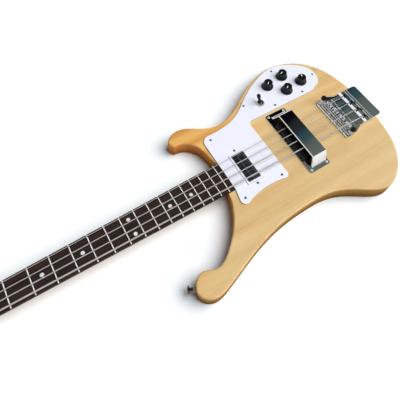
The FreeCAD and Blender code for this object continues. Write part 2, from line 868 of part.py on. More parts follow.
def make_neck_pickup():
    reach = neck_pickup_length / 2
    top = face_z + neck_pickup_height
    case = block((neck_pickup_centre - reach, -neck_pickup_width / 2, face_z - neck_pickup_depth),
                 (neck_pickup_centre + reach, neck_pickup_width / 2, top))
    rims = [edge for edge in case.Edges if edge.BoundBox.ZMin > top - edge_reach]
    case = case.makeFillet(neck_pickup_case_round, rims)
    middle = neck_pickup_centre + neck_pickup_bar_shift
    bar_width = neck_pickup_width - 2 * neck_pickup_bar_inset
    bar = rounded_plate(middle - neck_pickup_bar_length / 2, middle + neck_pickup_bar_length / 2, bar_width,
                        neck_pickup_bar_height, top, top + neck_pickup_bar_height)
    crest = [edge for edge in bar.Edges if edge.BoundBox.ZMin > top + neck_pickup_bar_height / 2]
    return case.fuse(bar.makeChamfer(neck_pickup_bar_bevel, crest))


def plate_screw_places():
    inset = bridge_plate_screw_inset
    return [(x, side * (bridge_plate_width / 2 - inset)) for side in (1, -1)
            for x in (bridge_plate_front + inset, bridge_plate_rear - inset)]


def make_bridge_plate():
    plate = rounded_plate(bridge_plate_front, bridge_plate_rear, bridge_plate_width, bridge_plate_corner,
                          face_z, plate_top)
    gap = bridge_pickup_gap
    plate = plate.cut(block((bridge_pickup_front - gap, -bridge_pickup_width / 2 - gap, 0),
                            (bridge_pickup_front + bridge_pickup_length + gap, bridge_pickup_width / 2 + gap,
                             plate_top + cut_past)))
    for x, y in plate_screw_places():
        plate = plate.cut(screw_hole((x, y, plate_top), UP, small_screw_radius, small_screw_length))
    return plate


def make_bridge_pickup():
    top = face_z + bridge_pickup_height
    rear = bridge_pickup_front + bridge_pickup_length
    case = rounded_plate(bridge_pickup_front, rear, bridge_pickup_width, bridge_pickup_round * 2,
                         face_z - bridge_pickup_depth, top)
    rims = [edge for edge in case.Edges if edge.BoundBox.ZMin > top - edge_reach]
    return case.makeFillet(bridge_pickup_round, rims)


def cover_peak():
    """Top of the cover, clear of the highest string."""
    middle = bridge_plate_rear - cover_length / 2
    tops = [string_place(index, middle).z + diameter / 2 for index, diameter in enumerate(string_diameters)]
    return max(tops) + cover_string_gap + cover_wall


def make_cover():
    """A bent strap over the strings with legs that slope outwards and forwards to flanges on the plate."""
    foot = cover_foot_width / 2
    top = cover_top_width / 2
    z0 = plate_top
    z1 = z0 + cover_wall
    peak = cover_peak()
    slope = Vec(foot - top, peak - z1).normalize()
    shift = cover_wall * math.tan(math.atan2(slope.x, slope.y) / 2 + math.pi / 4) - cover_wall
    half_outer = [(foot + cover_flange, z0), (foot + cover_flange, z1), (foot + shift, z1), (top, peak)]
    half_inner = [(top - cover_wall, peak - cover_wall), (foot - cover_wall, z0)]
    rear = bridge_plate_rear
    front = rear - cover_length
    loop = half_outer + [(-y, z) for y, z in reversed(half_outer)]
    loop += [(-y, z) for y, z in reversed(half_inner)] + half_inner
    points = [Vec(front - cover_rake, y, z) for y, z in loop]
    tight = cover_bend - cover_wall
    half_radii = [cover_edge_round, cover_edge_round, tight, cover_bend]
    radii = half_radii + half_radii[::-1] + [cover_bend, tight, tight, cover_bend]
    strap = prism(rounded_loop(points, radii), ALONG * (cover_length + cover_rake))
    bevel = cover_edge_bevel
    side = [(front - cover_rake, z0), (front, peak - bevel), (front + bevel, peak), (rear - bevel, peak),
            (rear, peak - bevel), (rear - cover_rake, z0)]
    return strap.common(side_prism(side, bridge_plate_width))


def make_tailpiece():
    front = tail_front_width / 2
    rear = tail_rear_width / 2
    shoulder = tail_front + tail_front_length
    waist = shoulder + 2 * (front - rear)
    plan = [(tail_front, -front), (shoulder, -front), (waist, -rear), (tail_rear, -rear)]
    plan += [(x, -y) for x, y in reversed(plan)]
    radii = [tail_front_corner, tail_front_corner, tail_front_corner, tail_rear_corner]
    slab = prism(rounded_loop(on_level(plan, face_z), radii + radii[::-1]), UP * comb_height)
    wall_rear = comb_rear + trough_length
    step = tail_ridge_step
    ridge = wall_rear + step + tail_ridge_width
    top = tail_plate_height
    side = [(tail_front, 0), (tail_front, tail_lip_height - tail_lip_bevel),
            (tail_front + tail_lip_bevel, tail_lip_height), (tail_front + tail_lip, tail_lip_height),
            (shoulder, tail_wall_height), (comb_front, tail_wall_height), (comb_front, comb_height),
            (comb_rear, comb_height - comb_fall), (comb_rear, top - 2 * step), (wall_rear, top - 2 * step),
            (wall_rear + step, top - step), (ridge, top - step), (ridge + step, top),
            (tail_rear - tail_plate_bevel, top), (tail_rear, top - tail_plate_bevel), (tail_rear, 0)]
    casting = slab.common(side_prism([(x, face_z + z) for x, z in side], tail_front_width))
    pan_half = rear - tail_wall
    notch_half = mute_width / 2 + mute_gap
    above = 2 * face_z
    trough_z = face_z + comb_height - trough_depth
    hollow_z = face_z + tail_plate_height - 2 * tail_hollow_wall
    cuts = [block((tail_front + tail_lip, -pan_half, tray_z), (comb_front, pan_half, above)),
            block((mute_front - mute_gap, -notch_half, tray_z),
                  (mute_lug_rear + mute_gap, notch_half, above)),
            block((comb_rear, -pan_half, trough_z), (wall_rear, pan_half, above)),
            block((wall_rear + tail_hollow_wall, -pan_half, 0),
                  (tail_rear - tail_rear_corner, pan_half, hollow_z))]
    for index in range(len(string_names)):
        reach = (string_diameters[index] + comb_slot_gap) / 2
        centre = string_place(index, comb_rear)
        cuts.append(block((comb_front - cut_past, centre.y - reach, centre.z - reach),
                          (comb_rear + cut_past, centre.y + reach, above)))
    for y in tail_screw_places:
        cuts.append(screw_hole((tail_screw_x, y, tray_z), UP, large_screw_radius, large_screw_length))
    for x, y in thumbscrew_places():
        cuts.append(rod((x, y, face_z + tail_floor / 2), UP, thumbscrew_radius + running_gap, face_z))
    return casting.cut(cuts)


def make_bridge_base():
    half = bridge_width / 2
    walls_top = bridge_z + bridge_wall_height
    base = block((bridge_front, -half, bridge_z), (bridge_rear, half, walls_top))
    base = base.cut(block((bridge_front + bridge_wall, -2 * half, bridge_z + bridge_floor),
                          (bridge_rear - bridge_wall, 2 * half, 2 * walls_top)))
    for index in range(len(string_names)):
        y = string_place(index, saddle_compensation).y
        base = base.cut(rod((bridge_front - cut_past, y, intonation_z), ALONG,
                            intonation_radius + running_gap, bridge_length + 2 * cut_past))
    for x, y in height_screw_places():
        base = base.cut(rod((x, y, 0), UP, height_screw_radius + hole_gap, 2 * walls_top))
    return base


def height_screw_places():
    return [(x, side * height_screw_spread / 2) for side in (1, -1)
            for x in (bridge_front + 2 * bridge_wall, bridge_rear - 2 * bridge_wall)]


def make_height_screw(x, y):
    length = bridge_stand + bridge_floor - saddle_gap
    stud = rod((x, y, tray_z), UP, height_screw_radius, length)
    return stud.cut(rod((x, y, tray_z + length / 2), UP, height_screw_radius / 2, length))


def make_saddle(index):
    """A block with a crowned top, grooved for its string and bored for its screw."""
    place = string_place(index, saddle_compensation)
    reach = string_diameters[index] / 2 + saddle_groove_gap
    floor = bridge_z + bridge_floor + saddle_gap
    crest = place.z
    x0 = saddle_compensation - saddle_length / 2
    x1 = saddle_compensation + saddle_length / 2
    crown = saddle_crown_length / 2
    y = place.y - saddle_width / 2
    side = [(x0, floor), (x0, crest - saddle_shoulder), (saddle_compensation - crown, crest),
            (saddle_compensation + crown, crest), (x1, crest - saddle_shoulder), (x1, floor)]
    points = [Vec(x, y, z) for x, z in side]
    saddle = Part.Face(Part.makePolygon(points + points[:1])).extrude(ACROSS * saddle_width)
    start = x0 - cut_past
    length = saddle_length + 2 * cut_past
    groove = rod((start, place.y, place.z), ALONG, reach, length)
    bore = rod((start, place.y, intonation_z), ALONG, intonation_radius + running_gap, length)
    return saddle.cut([groove, bore])


def make_intonation_screw(index):
    y = string_place(index, saddle_compensation).y
    r = intonation_head_radius
    n = intonation_head_length
    shank = rod((bridge_front, y, intonation_z), ALONG, intonation_radius, bridge_length + saddle_gap)
    head = turned([(0, 0), (r, 0), (r, n * 0.6), (r * 0.7, n), (0, n)],
                  (bridge_rear + saddle_gap, y, intonation_z), ALONG)
    return shank.fuse(head)


def thumbscrew_places():
    x = mute_lug_rear - thumbscrew_inset
    return [(x, -thumbscrew_spread / 2), (x, thumbscrew_spread / 2)]


def make_mute_bar():
    """A flat bar under the strings with a lug at each end that reaches back beside the bridge."""
    z0 = tray_z + mute_bar_lift
    z1 = z0 + mute_bar_thickness
    bevel = mute_bar_bevel
    side = [(mute_front, z0), (mute_front, z1 - bevel), (mute_front + bevel, z1), (mute_rear, z1),
            (mute_rear, z0)]
    bar = side_prism(side, mute_width)
    inner = bridge_width / 2 + bridge_side_gap + mute_gap
    for y0, y1 in ((-mute_width / 2, -inner), (inner, mute_width / 2)):
        bar = bar.fuse(block((mute_front + bevel, y0, z0), (mute_lug_rear, y1, z1)))
    for x, y in thumbscrew_places():
        bar = bar.cut(rod((x, y, 0), UP, thumbscrew_radius + running_gap, 2 * z1))
    return bar


def make_mute_pad():
    z0 = tray_z + mute_bar_lift + mute_bar_thickness
    half = mute_pad_width / 2
    z1 = z0 + mute_pad_height
    pad = block((mute_rear - mute_pad_length, -half, z0), (mute_rear, half, z1))
    rims = [edge for edge in pad.Edges if edge.BoundBox.ZMin > z1 - edge_reach and edge.Length > half]
    return pad.makeFillet(mute_pad_height / 3, rims)


def fluted(solid, x, y, radius, count, flute_radius, z0, z1):
    """Cuts upright grooves round a grip."""
    grooves = []
    for step in range(count):
        a = 2 * math.pi * step / count
        start = (x + radius * math.cos(a), y + radius * math.sin(a), z0)
        grooves.append(rod(start, UP, flute_radius, z1 - z0))
    return solid.cut(grooves)


def make_thumbscrew(x, y):
    foot = face_z + tail_floor / 2 + running_gap
    seat = tray_z + mute_bar_lift + mute_bar_thickness + thumbscrew_clear
    top = seat + thumbscrew_head_height
    r = thumbscrew_head_radius
    bevel = thumbscrew_flute_radius
    profile = [(0, foot), (thumbscrew_radius, foot), (thumbscrew_radius, seat), (r, seat), (r, top - bevel),
               (r - bevel, top), (0, top)]
    thumbscrew = turned(profile, (x, y, 0))
    return fluted(thumbscrew, x, y, r, thumbscrew_flutes, thumbscrew_flute_radius, seat - cut_past,
                  top + cut_past)


def make_pot(x, y):
    """The can under the guard with its threaded neck and nut, bored for the spindle."""
    z0 = face_z - pot_height
    z1 = guard_top + pot_nut_height
    profile = [(0, z0), (pot_radius, z0), (pot_radius, face_z), (pot_thread_radius, face_z),
               (pot_thread_radius, guard_top), (pot_nut_radius, guard_top), (pot_nut_radius, z1), (0, z1)]
    bore = rod((x, y, z0 + pot_height / 2), UP, spindle_radius + running_gap, pot_height * 3)
    return turned(profile, (x, y, 0)).cut(bore)


def make_knob(x, y):
    """A skirted knob with a fluted grip, hollow underneath round the nut."""
    z0 = guard_top + knob_lift
    skirt = z0 + knob_skirt_height
    neck = z0 + knob_neck_height
    top = z0 + knob_height
    waist = (knob_grip_radius + knob_waist, skirt + (neck - skirt) * 0.4)
    profile = [(0, z0), (knob_skirt_radius, z0), (knob_skirt_radius, skirt), waist, (knob_grip_radius, neck),
               (knob_grip_radius, top - knob_top_bevel), (knob_grip_radius - knob_top_bevel, top), (0, top)]
    points = [Vec(r, 0, z) for r, z in profile]
    edges = [line(points[0], points[1]), line(points[1], points[2]), arc(points[2], points[3], points[4]),
             line(points[4], points[5]), line(points[5], points[6]), line(points[6], points[7]),
             line(points[7], points[0])]
    cap = Part.Face(Part.Wire(edges)).revolve(Vec(0, 0, 0), UP, 360)
    cap.translate(Vec(x, y, 0))
    cap = cap.cut(rod((x, y, z0 - cut_past), UP, knob_recess_radius, knob_recess_depth + cut_past))
    cap = cap.cut(rod((x, y, z0 - cut_past), UP, spindle_radius + press_gap, spindle_socket + cut_past))
    ring = knob_grip_radius + knob_flute_radius * 0.4
    return fluted(cap, x, y, ring, knob_flutes, knob_flute_radius, neck, top + cut_past)


def make_spindle(x, y):
    start = face_z - pot_height / 2 + hole_gap
    end = guard_top + knob_lift + spindle_socket
    return rod((x, y, start), UP, spindle_radius, end - start)


def toggle_pivot():
    return Vec(*toggle_spot, face_z + toggle_pivot_rise)


def make_toggle_frame():
    x, y = toggle_spot
    half = toggle_frame_size / 2
    frame = block((x - half, y - half, face_z - toggle_frame_depth), (x + half, y + half, face_z))
    neck = rod((x, y, face_z), UP, toggle_thread_radius, guard_thickness + toggle_nut_height)
    frame = frame.fuse(neck)
    bore = rod((x, y, toggle_pivot().z - toggle_ball_radius - string_gap), UP, toggle_bore_radius, face_z)
    return frame.cut(bore)


def make_toggle_nut():
    x, y = toggle_spot
    r = toggle_nut_radius
    z1 = guard_top + toggle_nut_height
    hole = toggle_thread_radius + press_gap
    bevel = toggle_nut_bevel
    profile = [(hole, guard_top), (r, guard_top), (r, z1 - bevel), (r - bevel, z1), (hole, z1)]
    nut = turned(profile, (x, y, 0))
    return fluted(nut, x, y, r, toggle_nut_flutes, toggle_nut_flute_radius, guard_top - cut_past,
                  z1 + cut_past)


def make_toggle_lever():
    tip = toggle_lever_height
    start = tip - toggle_tip_length
    end = toggle_tip_radius
    thin = toggle_rod_radius
    points = [(0, 0), (thin, 0), (thin, start), (end, start + end), (end, tip - end), (0, tip)]
    profile = [Vec(r, 0, z) for r, z in points]
    edges = [line(profile[i], profile[i + 1]) for i in range(4)]
    slant = end * math.sqrt(0.5)
    edges += [arc(profile[4], Vec(slant, 0, tip - end + slant), profile[5]), line(profile[5], profile[0])]
    lever = Part.Face(Part.Wire(edges)).revolve(Vec(0, 0, 0), UP, 360)
    lever = lever.fuse(Part.makeSphere(toggle_ball_radius))
    heading = math.radians(toggle_heading)
    axis = Vec(-math.sin(heading), math.cos(heading), 0)
    lever.rotate(Vec(0, 0, 0), axis, toggle_lean)
    lever.translate(toggle_pivot())
    return lever


def make_jack():
    """A threaded sleeve through the rim with its nut outside, bored for the plug."""
    mouth = jack_seat + ferrule_thickness + jack_nut_height
    sleeve = rod((jack_x, mouth - jack_length, jack_height), ACROSS, jack_thread_radius, jack_length)
    nut = rod((jack_x, jack_seat + ferrule_thickness, jack_height), ACROSS, jack_nut_radius, jack_nut_height)
    bore = rod((jack_x, 0, jack_height), ACROSS, jack_bore_radius, 2 * mouth)
    return sleeve.fuse(nut).cut(bore)


def make_ferrule():
    r = ferrule_radius
    t = ferrule_thickness
    hole = jack_thread_radius + hole_gap
    profile = [(hole, 0), (r, 0), (r, t / 2), (r - t / 2, t), (hole, t)]
    return turned(profile, (jack_x, jack_seat, jack_height), ACROSS)


def strap_seats():
    """The foot of each strap button, square on the rim near its place, and the way that it points."""
    rim = body_outline(strap_button_height)[1]
    seats = []
    for place in from_board(strap_button_places):
        spot = rim.Curve.parameter(Vec(*place, strap_button_height))
        axis = UP.cross(rim.tangentAt(spot))
        seats.append((rim.valueAt(spot) - axis * button_seat_depth, axis))
    return seats


def make_strap_button(seat, axis):
    r = strap_button_radius
    w = strap_button_waist
    f = strap_button_flange
    n = strap_button_length
    hole = large_screw_radius + screw_hole_gap
    dish = large_screw_head + screw_hole_gap
    rim = r - strap_button_bevel
    profile = [(hole, 0), (rim, 0), (rim, f / 2), (w, f * 2), (w, n - f * 1.5), (r, n - f),
               (r, n - f / 2), (rim, n), (dish, n), (dish, n - f), (hole, n - f)]
    return turned(profile, tuple(seat), axis)


def strap_screw_seat(seat, axis):
    return tuple(seat + axis * (strap_button_length - strap_button_flange))


def make_housing(index):
    """A closed gear box on the back of the head, bored for the post and the shaft."""
    x, y, side = post_place(index)
    y0, y1 = sorted((y - side * housing_inner, y + side * housing_outer))
    half = housing_length / 2
    box = block((x - half, y0, housing_z), (x + half, y1, head_back))
    low = [edge for edge in box.Edges if edge.BoundBox.ZMax < head_back - edge_reach]
    box = box.makeFillet(housing_round, low)
    cuts = [rod((x, y, head_back - housing_depth / 3), UP, post_radius + running_gap, housing_depth),
            rod((x, y + side * housing_outer / 2, shaft_z), (0, side, 0), shaft_radius + running_gap,
                housing_outer)]
    for sx, sy in tuner_screw_places(index):
        cuts.append(screw_hole((sx, sy, housing_z), -UP, small_screw_radius, small_screw_length))
    return box.cut(cuts)


def tuner_screw_places(index):
    x, y, side = post_place(index)
    return [(x - tuner_screw_spread / 2, y - side * housing_inner / 2),
            (x + tuner_screw_spread / 2, y - side * housing_inner / 2)]


def make_bushing(index):
    x, y, _ = post_place(index)
    hole = post_radius + running_gap
    sleeve = bushing_sleeve_radius
    bevel = bushing_flange / 2
    profile = [(hole, head_back), (sleeve, head_back), (sleeve, head_top), (bushing_radius, head_top),
               (bushing_radius, bushing_top - bevel), (bushing_radius - bevel, bushing_top),
               (hole, bushing_top)]
    return turned(profile, (x, y, 0))


def make_post(index):
    x, y, _ = post_place(index)
    foot = head_back - housing_depth / 3 + running_gap
    wound = winding_start(index)[0].z + string_diameters[index]
    top = wound + post_cap_height
    cap = post_cap_radius
    profile = [(0, foot), (post_radius, foot), (post_radius, wound), (cap, wound + post_cap_height / 2),
               (cap, top), (0, top)]
    post = turned(profile, (x, y, 0))
    half = post_slot / 2
    slot = block((x - 2 * cap, y - half, wound), (x + 2 * cap, y + half, top + cut_past))
    return post.cut(slot)


def make_tuner_button(index):
    """A shaft from the gear box with an oval paddle clear of the head's edge."""
    x, y, side = post_place(index)
    start = y + side * (housing_outer / 2 + running_gap)
    edge = y + side * (housing_outer + shaft_reach)
    shaft = rod((x, start, shaft_z), (0, side, 0), shaft_radius, abs(edge - start) + button_clear)
    half = button_width / 2
    inner = Vec(x - button_thickness / 2, edge, shaft_z)
    waist = ACROSS * (side * button_length * 0.3)
    far = ACROSS * (side * button_length)
    collar = UP * (shaft_radius * 1.6)
    loop = [inner - collar, inner + waist - UP * half, inner + far - UP * half,
            inner + far + UP * half, inner + waist + UP * half, inner + collar]
    radii = [shaft_radius, half, half * 0.9, half * 0.9, half, shaft_radius]
    paddle = prism(rounded_loop(loop, radii), ALONG * button_thickness)
    rims = [outline for outline in paddle.Edges if abs(outline.tangentAt(outline.FirstParameter).x) < 0.5]
    return shaft.fuse(paddle.makeChamfer(button_bevel, rims))


def carve_body():
    body = make_body()
    reach = neck_pickup_length / 2
    bridge_pickup_rear = bridge_pickup_front + bridge_pickup_length
    wells = [make_neck_pocket(), make_control_cavity(),
             pickup_well(neck_pickup_centre - reach, neck_pickup_centre + reach, neck_pickup_width,
                         neck_pickup_depth),
             pickup_well(bridge_pickup_front, bridge_pickup_rear, bridge_pickup_width, bridge_pickup_depth)]
    wire_z = face_z - (bridge_pickup_depth + pickup_floor_gap) / 2
    wire_x = (bridge_pickup_front + bridge_pickup_rear) / 2
    wells.append(rod((wire_x, bridge_pickup_width / 2, wire_z), ACROSS, wire_hole_radius, guard_side))
    outside = jack_seat + body_thickness
    inside = knob_places[-1][1]
    wells.append(rod((jack_x, inside, jack_height), ACROSS, jack_thread_radius + hole_gap, outside))
    wells.append(rod((jack_x, jack_seat, jack_height), ACROSS, ferrule_radius + hole_gap, outside))
    for seat, axis in strap_seats():
        wells.append(Part.makeCylinder(strap_button_radius + hole_gap, body_thickness, seat, axis))
        wells.append(screw_hole(strap_screw_seat(seat, axis), axis, large_screw_radius, strap_screw_length))
    for x, y in guard_screw_places() + neck_pickup_screw_places():
        wells.append(screw_hole((x, y, guard_top), UP, small_screw_radius, small_screw_length))
    for x, y in plate_screw_places():
        wells.append(screw_hole((x, y, plate_top), UP, small_screw_radius, small_screw_length))
    for y in tail_screw_places:
        wells.append(screw_hole((tail_screw_x, y, tray_z), UP, large_screw_radius, large_screw_length))
    return body.cut(wells)


def bore_neck(neck):
    holes = []
    for index in range(len(string_names)):
        for x, y in tuner_screw_places(index):
            holes.append(screw_hole((x, y, housing_z), -UP, small_screw_radius, small_screw_length))
    for x, y in rod_cover_screw_places():
        seat = (x, y, head_top + rod_cover_thickness)
        holes.append(screw_hole(seat, UP, small_screw_radius, cover_screw_length))
    return neck.cut(holes)


def small_screws(places, z, axis=UP, length=small_screw_length):
    return [screw((x, y, z), axis, small_screw_radius, small_screw_head, length) for x, y in places]


def all_parts():
    strings = range(len(string_names))
    parts = {
        "body": carve_body(),
        "neck": bore_neck(make_neck()),
        "truss_rod": make_truss_rod(),
        "truss_rod_cover": make_rod_cover(),
        "truss_rod_cover_screws": small_screws(rod_cover_screw_places(), head_top + rod_cover_thickness, UP,
                                               cover_screw_length),
        "fretboard": make_fretboard(),
        "frets": [make_fret(number) for number in range(1, fret_count + 1)],
        "position_dots": [make_dot(x, y, 0) for x, y in dot_places()],
        "nut": make_nut(),
        "pickguard": make_pickguard(),
        "pickguard_screws": small_screws(guard_screw_places() + neck_pickup_screw_places(), guard_top),
        "neck_pickup": make_neck_pickup(),
        "neck_pickup_bezel": make_bezel(),
        "bridge_pickup_plate": make_bridge_plate(),
        "bridge_pickup": make_bridge_pickup(),
        "bridge_pickup_cover": make_cover(),
        "bridge_pickup_screws": small_screws(plate_screw_places(), plate_top),
        "tailpiece": make_tailpiece(),
        "tailpiece_screws": [screw((tail_screw_x, y, tray_z), UP, large_screw_radius, large_screw_head,
                                   large_screw_length) for y in tail_screw_places],
        "bridge_base": make_bridge_base(),
        "bridge_height_screws": [make_height_screw(x, y) for x, y in height_screw_places()],
        "mute_bar": make_mute_bar(),
        "mute_pad": make_mute_pad(),
        "control_pots": [make_pot(x, y) for x, y in knob_spots],
        "toggle_frame": make_toggle_frame(),
        "toggle_nut": make_toggle_nut(),
        "toggle_lever": make_toggle_lever(),
        "output_jack": make_jack(),
        "jack_ferrule": make_ferrule(),
        "strap_buttons": [make_strap_button(*seat) for seat in strap_seats()],
        "strap_button_screws": [screw(strap_screw_seat(*seat), seat[1], large_screw_radius, large_screw_head,
                                      strap_screw_length) for seat in strap_seats()],
        "tuner_housings": [make_housing(index) for index in strings],
        "tuner_bushings": [make_bushing(index) for index in strings],
        "tuner_screws": [fixing for index in strings
                         for fixing in small_screws(tuner_screw_places(index), housing_z, -UP)],
    }
    for side, (x, y) in zip(("bass", "treble"), thumbscrew_places()):
        parts["mute_thumbscrew_" + side] = make_thumbscrew(x, y)
    for number, (x, y) in enumerate(knob_spots, 1):
        parts["knob_%d" % number] = [make_knob(x, y), make_spindle(x, y)]
    for index, name in enumerate(string_names):
        parts["saddle_" + name] = make_saddle(index)
        parts["intonation_screw_" + name] = make_intonation_screw(index)
        parts["tuner_post_" + name] = make_post(index)
        parts["tuner_button_" + name] = make_tuner_button(index)
        parts["string_" + name] = make_string(index)
        print("string", name, "least gap between turns", round(winding_self_gap(index), 2))
    return parts


os.makedirs("parts", exist_ok=True)
for name, shape in all_parts().items():
    if isinstance(shape, list):
        shape = Part.makeCompound(shape)
    shape.exportStep("parts/" + name + ".step")
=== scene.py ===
import json
import math

import bpy
from mathutils import Matrix, Vector


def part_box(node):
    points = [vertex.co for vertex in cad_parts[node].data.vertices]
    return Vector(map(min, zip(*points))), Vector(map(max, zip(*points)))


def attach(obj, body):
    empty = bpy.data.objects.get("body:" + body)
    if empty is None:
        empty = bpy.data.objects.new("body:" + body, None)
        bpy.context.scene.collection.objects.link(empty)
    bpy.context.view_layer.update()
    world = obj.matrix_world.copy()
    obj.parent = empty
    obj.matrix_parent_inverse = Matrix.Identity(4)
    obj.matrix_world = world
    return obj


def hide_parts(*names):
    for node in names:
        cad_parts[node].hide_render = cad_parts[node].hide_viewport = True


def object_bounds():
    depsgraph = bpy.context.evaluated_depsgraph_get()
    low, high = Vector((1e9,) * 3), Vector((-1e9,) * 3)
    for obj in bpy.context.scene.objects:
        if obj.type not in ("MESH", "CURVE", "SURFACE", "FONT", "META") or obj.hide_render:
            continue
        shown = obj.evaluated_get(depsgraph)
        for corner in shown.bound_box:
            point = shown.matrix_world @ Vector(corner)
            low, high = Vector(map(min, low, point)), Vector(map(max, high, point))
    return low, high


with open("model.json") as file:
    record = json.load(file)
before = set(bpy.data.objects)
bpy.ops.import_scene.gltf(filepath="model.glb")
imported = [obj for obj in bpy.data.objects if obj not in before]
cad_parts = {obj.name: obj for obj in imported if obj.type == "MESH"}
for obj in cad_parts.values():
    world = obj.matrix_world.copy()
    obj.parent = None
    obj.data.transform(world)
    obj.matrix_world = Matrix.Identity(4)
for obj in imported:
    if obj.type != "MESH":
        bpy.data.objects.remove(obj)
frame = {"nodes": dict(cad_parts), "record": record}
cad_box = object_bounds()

nodes = frame["nodes"]
MM = 0.001
UP = Vector((0, 0, 1))
WHITE = (1, 1, 1, 1)

# Strings: wire diameters, turns on the posts, gaps to the post and between turns, bends, pitch of the wrap
string_diameters = {"e": 2.67 * MM, "a": 2.03 * MM, "d": 1.65 * MM, "g": 1.14 * MM}
string_turns = 2
string_sides = 14
post_radius = 5.0 * MM
post_gap = 0.3 * MM
turn_gap = 0.5 * MM
turn_steps = 32
kink_reach = 3.0 * MM
kink_steps = 6
wrap_pitch = 0.45 * MM

# Strings: how far each side of the saddle's middle and of the nut's edge their place is read from the solid
saddle_slice = 1.5 * MM
nut_slice = 3.0 * MM

# Ball ends: a waisted barrel, its rim as shares of its radius and of half its width, its place on the wrap
ball_radius = 3.2 * MM
ball_width = 5.0 * MM
ball_rim = [(0.4, 1.0), (0.5, 1.0), (0.86, 1.0), (0.97, 0.9), (1.0, 0.74), (0.9, 0.3)]
ball_waist = (0.88, 0.0)
ball_wrap = 0.25

# Screws with a cross recess: shares of the head's radius or height, or of the screw's length
screw_nodes = ("pickguard_screws", "bridge_pickup_screws", "tailpiece_screws", "truss_rod_cover_screws",
               "strap_button_screws", "tuner_screws")
head_rings = 14
head_sides = 48
head_share = 0.64
dome_power = 2.6
dome_root = 0.55
recess_reach = 0.6
recess_half_width = 0.13
recess_depth = 0.75
recess_edge = 0.05
recess_end = 0.15
shank_share = 0.55
taper_start = 0.8
tip_share = 0.1
axis_steps = 30

# Screws: how far the first one's cross is turned, and each next one's beyond it, in radians
first_turn = 0.4
next_turn = 1.9

# White pointer lines on the knobs: their span in shares of the grip's radius, and their heading in degrees
pointer_span = (0.06, 0.74)
pointer_width = 1.8 * MM
pointer_rise = 0.12 * MM
pointer_sink = 0.3 * MM
pointer_shoulder = 0.6
pointer_bevel = 0.86
pointer_end_steps = 8
pointer_headings = {"knob_1": 228, "knob_2": 195, "knob_3": 72, "knob_4": 210}
knob_grip_radius = 8.8 * MM

# Thumbscrews: how far the black cap reaches down from the top
thumb_cap_height = 5.0 * MM

# Toggle switch: how far the bare metal of the lever stands above its nut
lever_bare_height = 0.6 * MM

# Foam of the mute: its mesh, the roundness of its section, how its ends draw in, its shares of the solid
foam_steps = 60
foam_sides = 24
foam_corner = 0.45
foam_crown = 0.35
foam_pinch = 0.06
foam_pinch_power = 6
foam_end = 0.97
foam_end_drop = 0.35
foam_width_share = 0.98
foam_top_share = 0.97

# Foam of the mute: height, count and start of each wave along its top
foam_waves = ((0.02, 23, 0), (0.015, 41, 1))

# Angles in degrees past which a mesh keeps its edges sharp
sharp_screws = 40
sharp_pointers = 40
sharp_strings = 60
sharp_foam = 50

# Camera, fitted to the frets and the body's outline in the photograph
camera_place = (-0.48777, -0.26303, 0.70808)
camera_turn = (34.65, -3.294, -31.932)
camera_lens = 38.79
camera_sensor = 36.0
camera_shift = (-0.0375, -0.2)
camera_clip = (0.01, 100.0)

# Light: a wide soft lamp from high on the right of the picture and an even surround
key_direction = Vector((0.48, -0.26, 0.84)).normalized()
key_spread = 58.0
key_strength = 3.78
key_colour = (1.0, 0.998, 0.994)
surround_level = 0.08
surround_tint = (0.62, 0.97, 1.18)

# What level mirrors see overhead, by how far the view leans to the treble side, and how high it starts
overhead_bands = [(0.265, (0.135, 0.16, 0.15, 1)), (0.294, (0.11, 0.13, 0.113, 1)),
                  (0.307, (0.04, 0.08, 0.09, 1)), (0.32, (0.03, 0.07, 0.09, 1)),
                  (0.333, (0.022, 0.026, 0.028, 1)), (0.35, (0.018, 0.021, 0.022, 1)),
                  (0.36, (0.003, 0.003, 0.004, 1))]
overhead_rise = (0.5, 0.7)

# Floor: its width, how far it lies below the part, its two whites and their clouds, and its own glow
floor_size = 14.0
floor_drop = 0.2 * MM
floor_clouds = (3, 3, 3)
floor_tones = [(0.0, (0.95, 0.975, 0.995, 1)), (1.0, (0.965, 0.985, 1.0, 1))]
floor_glow = 0.02


def srgb(red, green, blue):
    """A colour written as screen values from 0 to 255, as the linear colour that shaders take."""
    shares = [value / 255 for value in (red, green, blue)]
    return tuple(s / 12.92 if s <= 0.04045 else ((s + 0.055) / 1.055) ** 2.4 for s in shares) + (1.0,)


def even(count):
    """The same stretch along each axis."""
    return (count, count, count)


# Woods: colours along the grain, and the lower and upper colour of upright sides, which are a deeper tone of
# the wood with painted shade on it, darker towards the bottom
wood_tones = [(0.3, srgb(213, 175, 119)), (0.45, srgb(220, 186, 132)), (0.58, srgb(225, 192, 139)),
              (0.7, srgb(228, 197, 146))]
neck_tones = [(0.3, srgb(206, 174, 130)), (0.45, srgb(216, 187, 145)), (0.6, srgb(223, 196, 156)),
              (0.72, srgb(229, 204, 167))]
amber_tones = [(0.36, srgb(200, 133, 57)), (0.46, srgb(221, 160, 78)), (0.54, srgb(228, 170, 89)),
               (0.64, srgb(237, 188, 112))]
board_tones = [(0.32, srgb(25, 20, 20)), (0.48, srgb(43, 34, 32)), (0.6, srgb(60, 42, 36)),
               (0.72, srgb(80, 53, 42))]
side_shade_tones = (srgb(112, 72, 36), srgb(200, 150, 84))
neck_side_shade_tones = (srgb(92, 70, 50), srgb(132, 104, 76))
side_shade_fade = (6 * MM, 31 * MM)

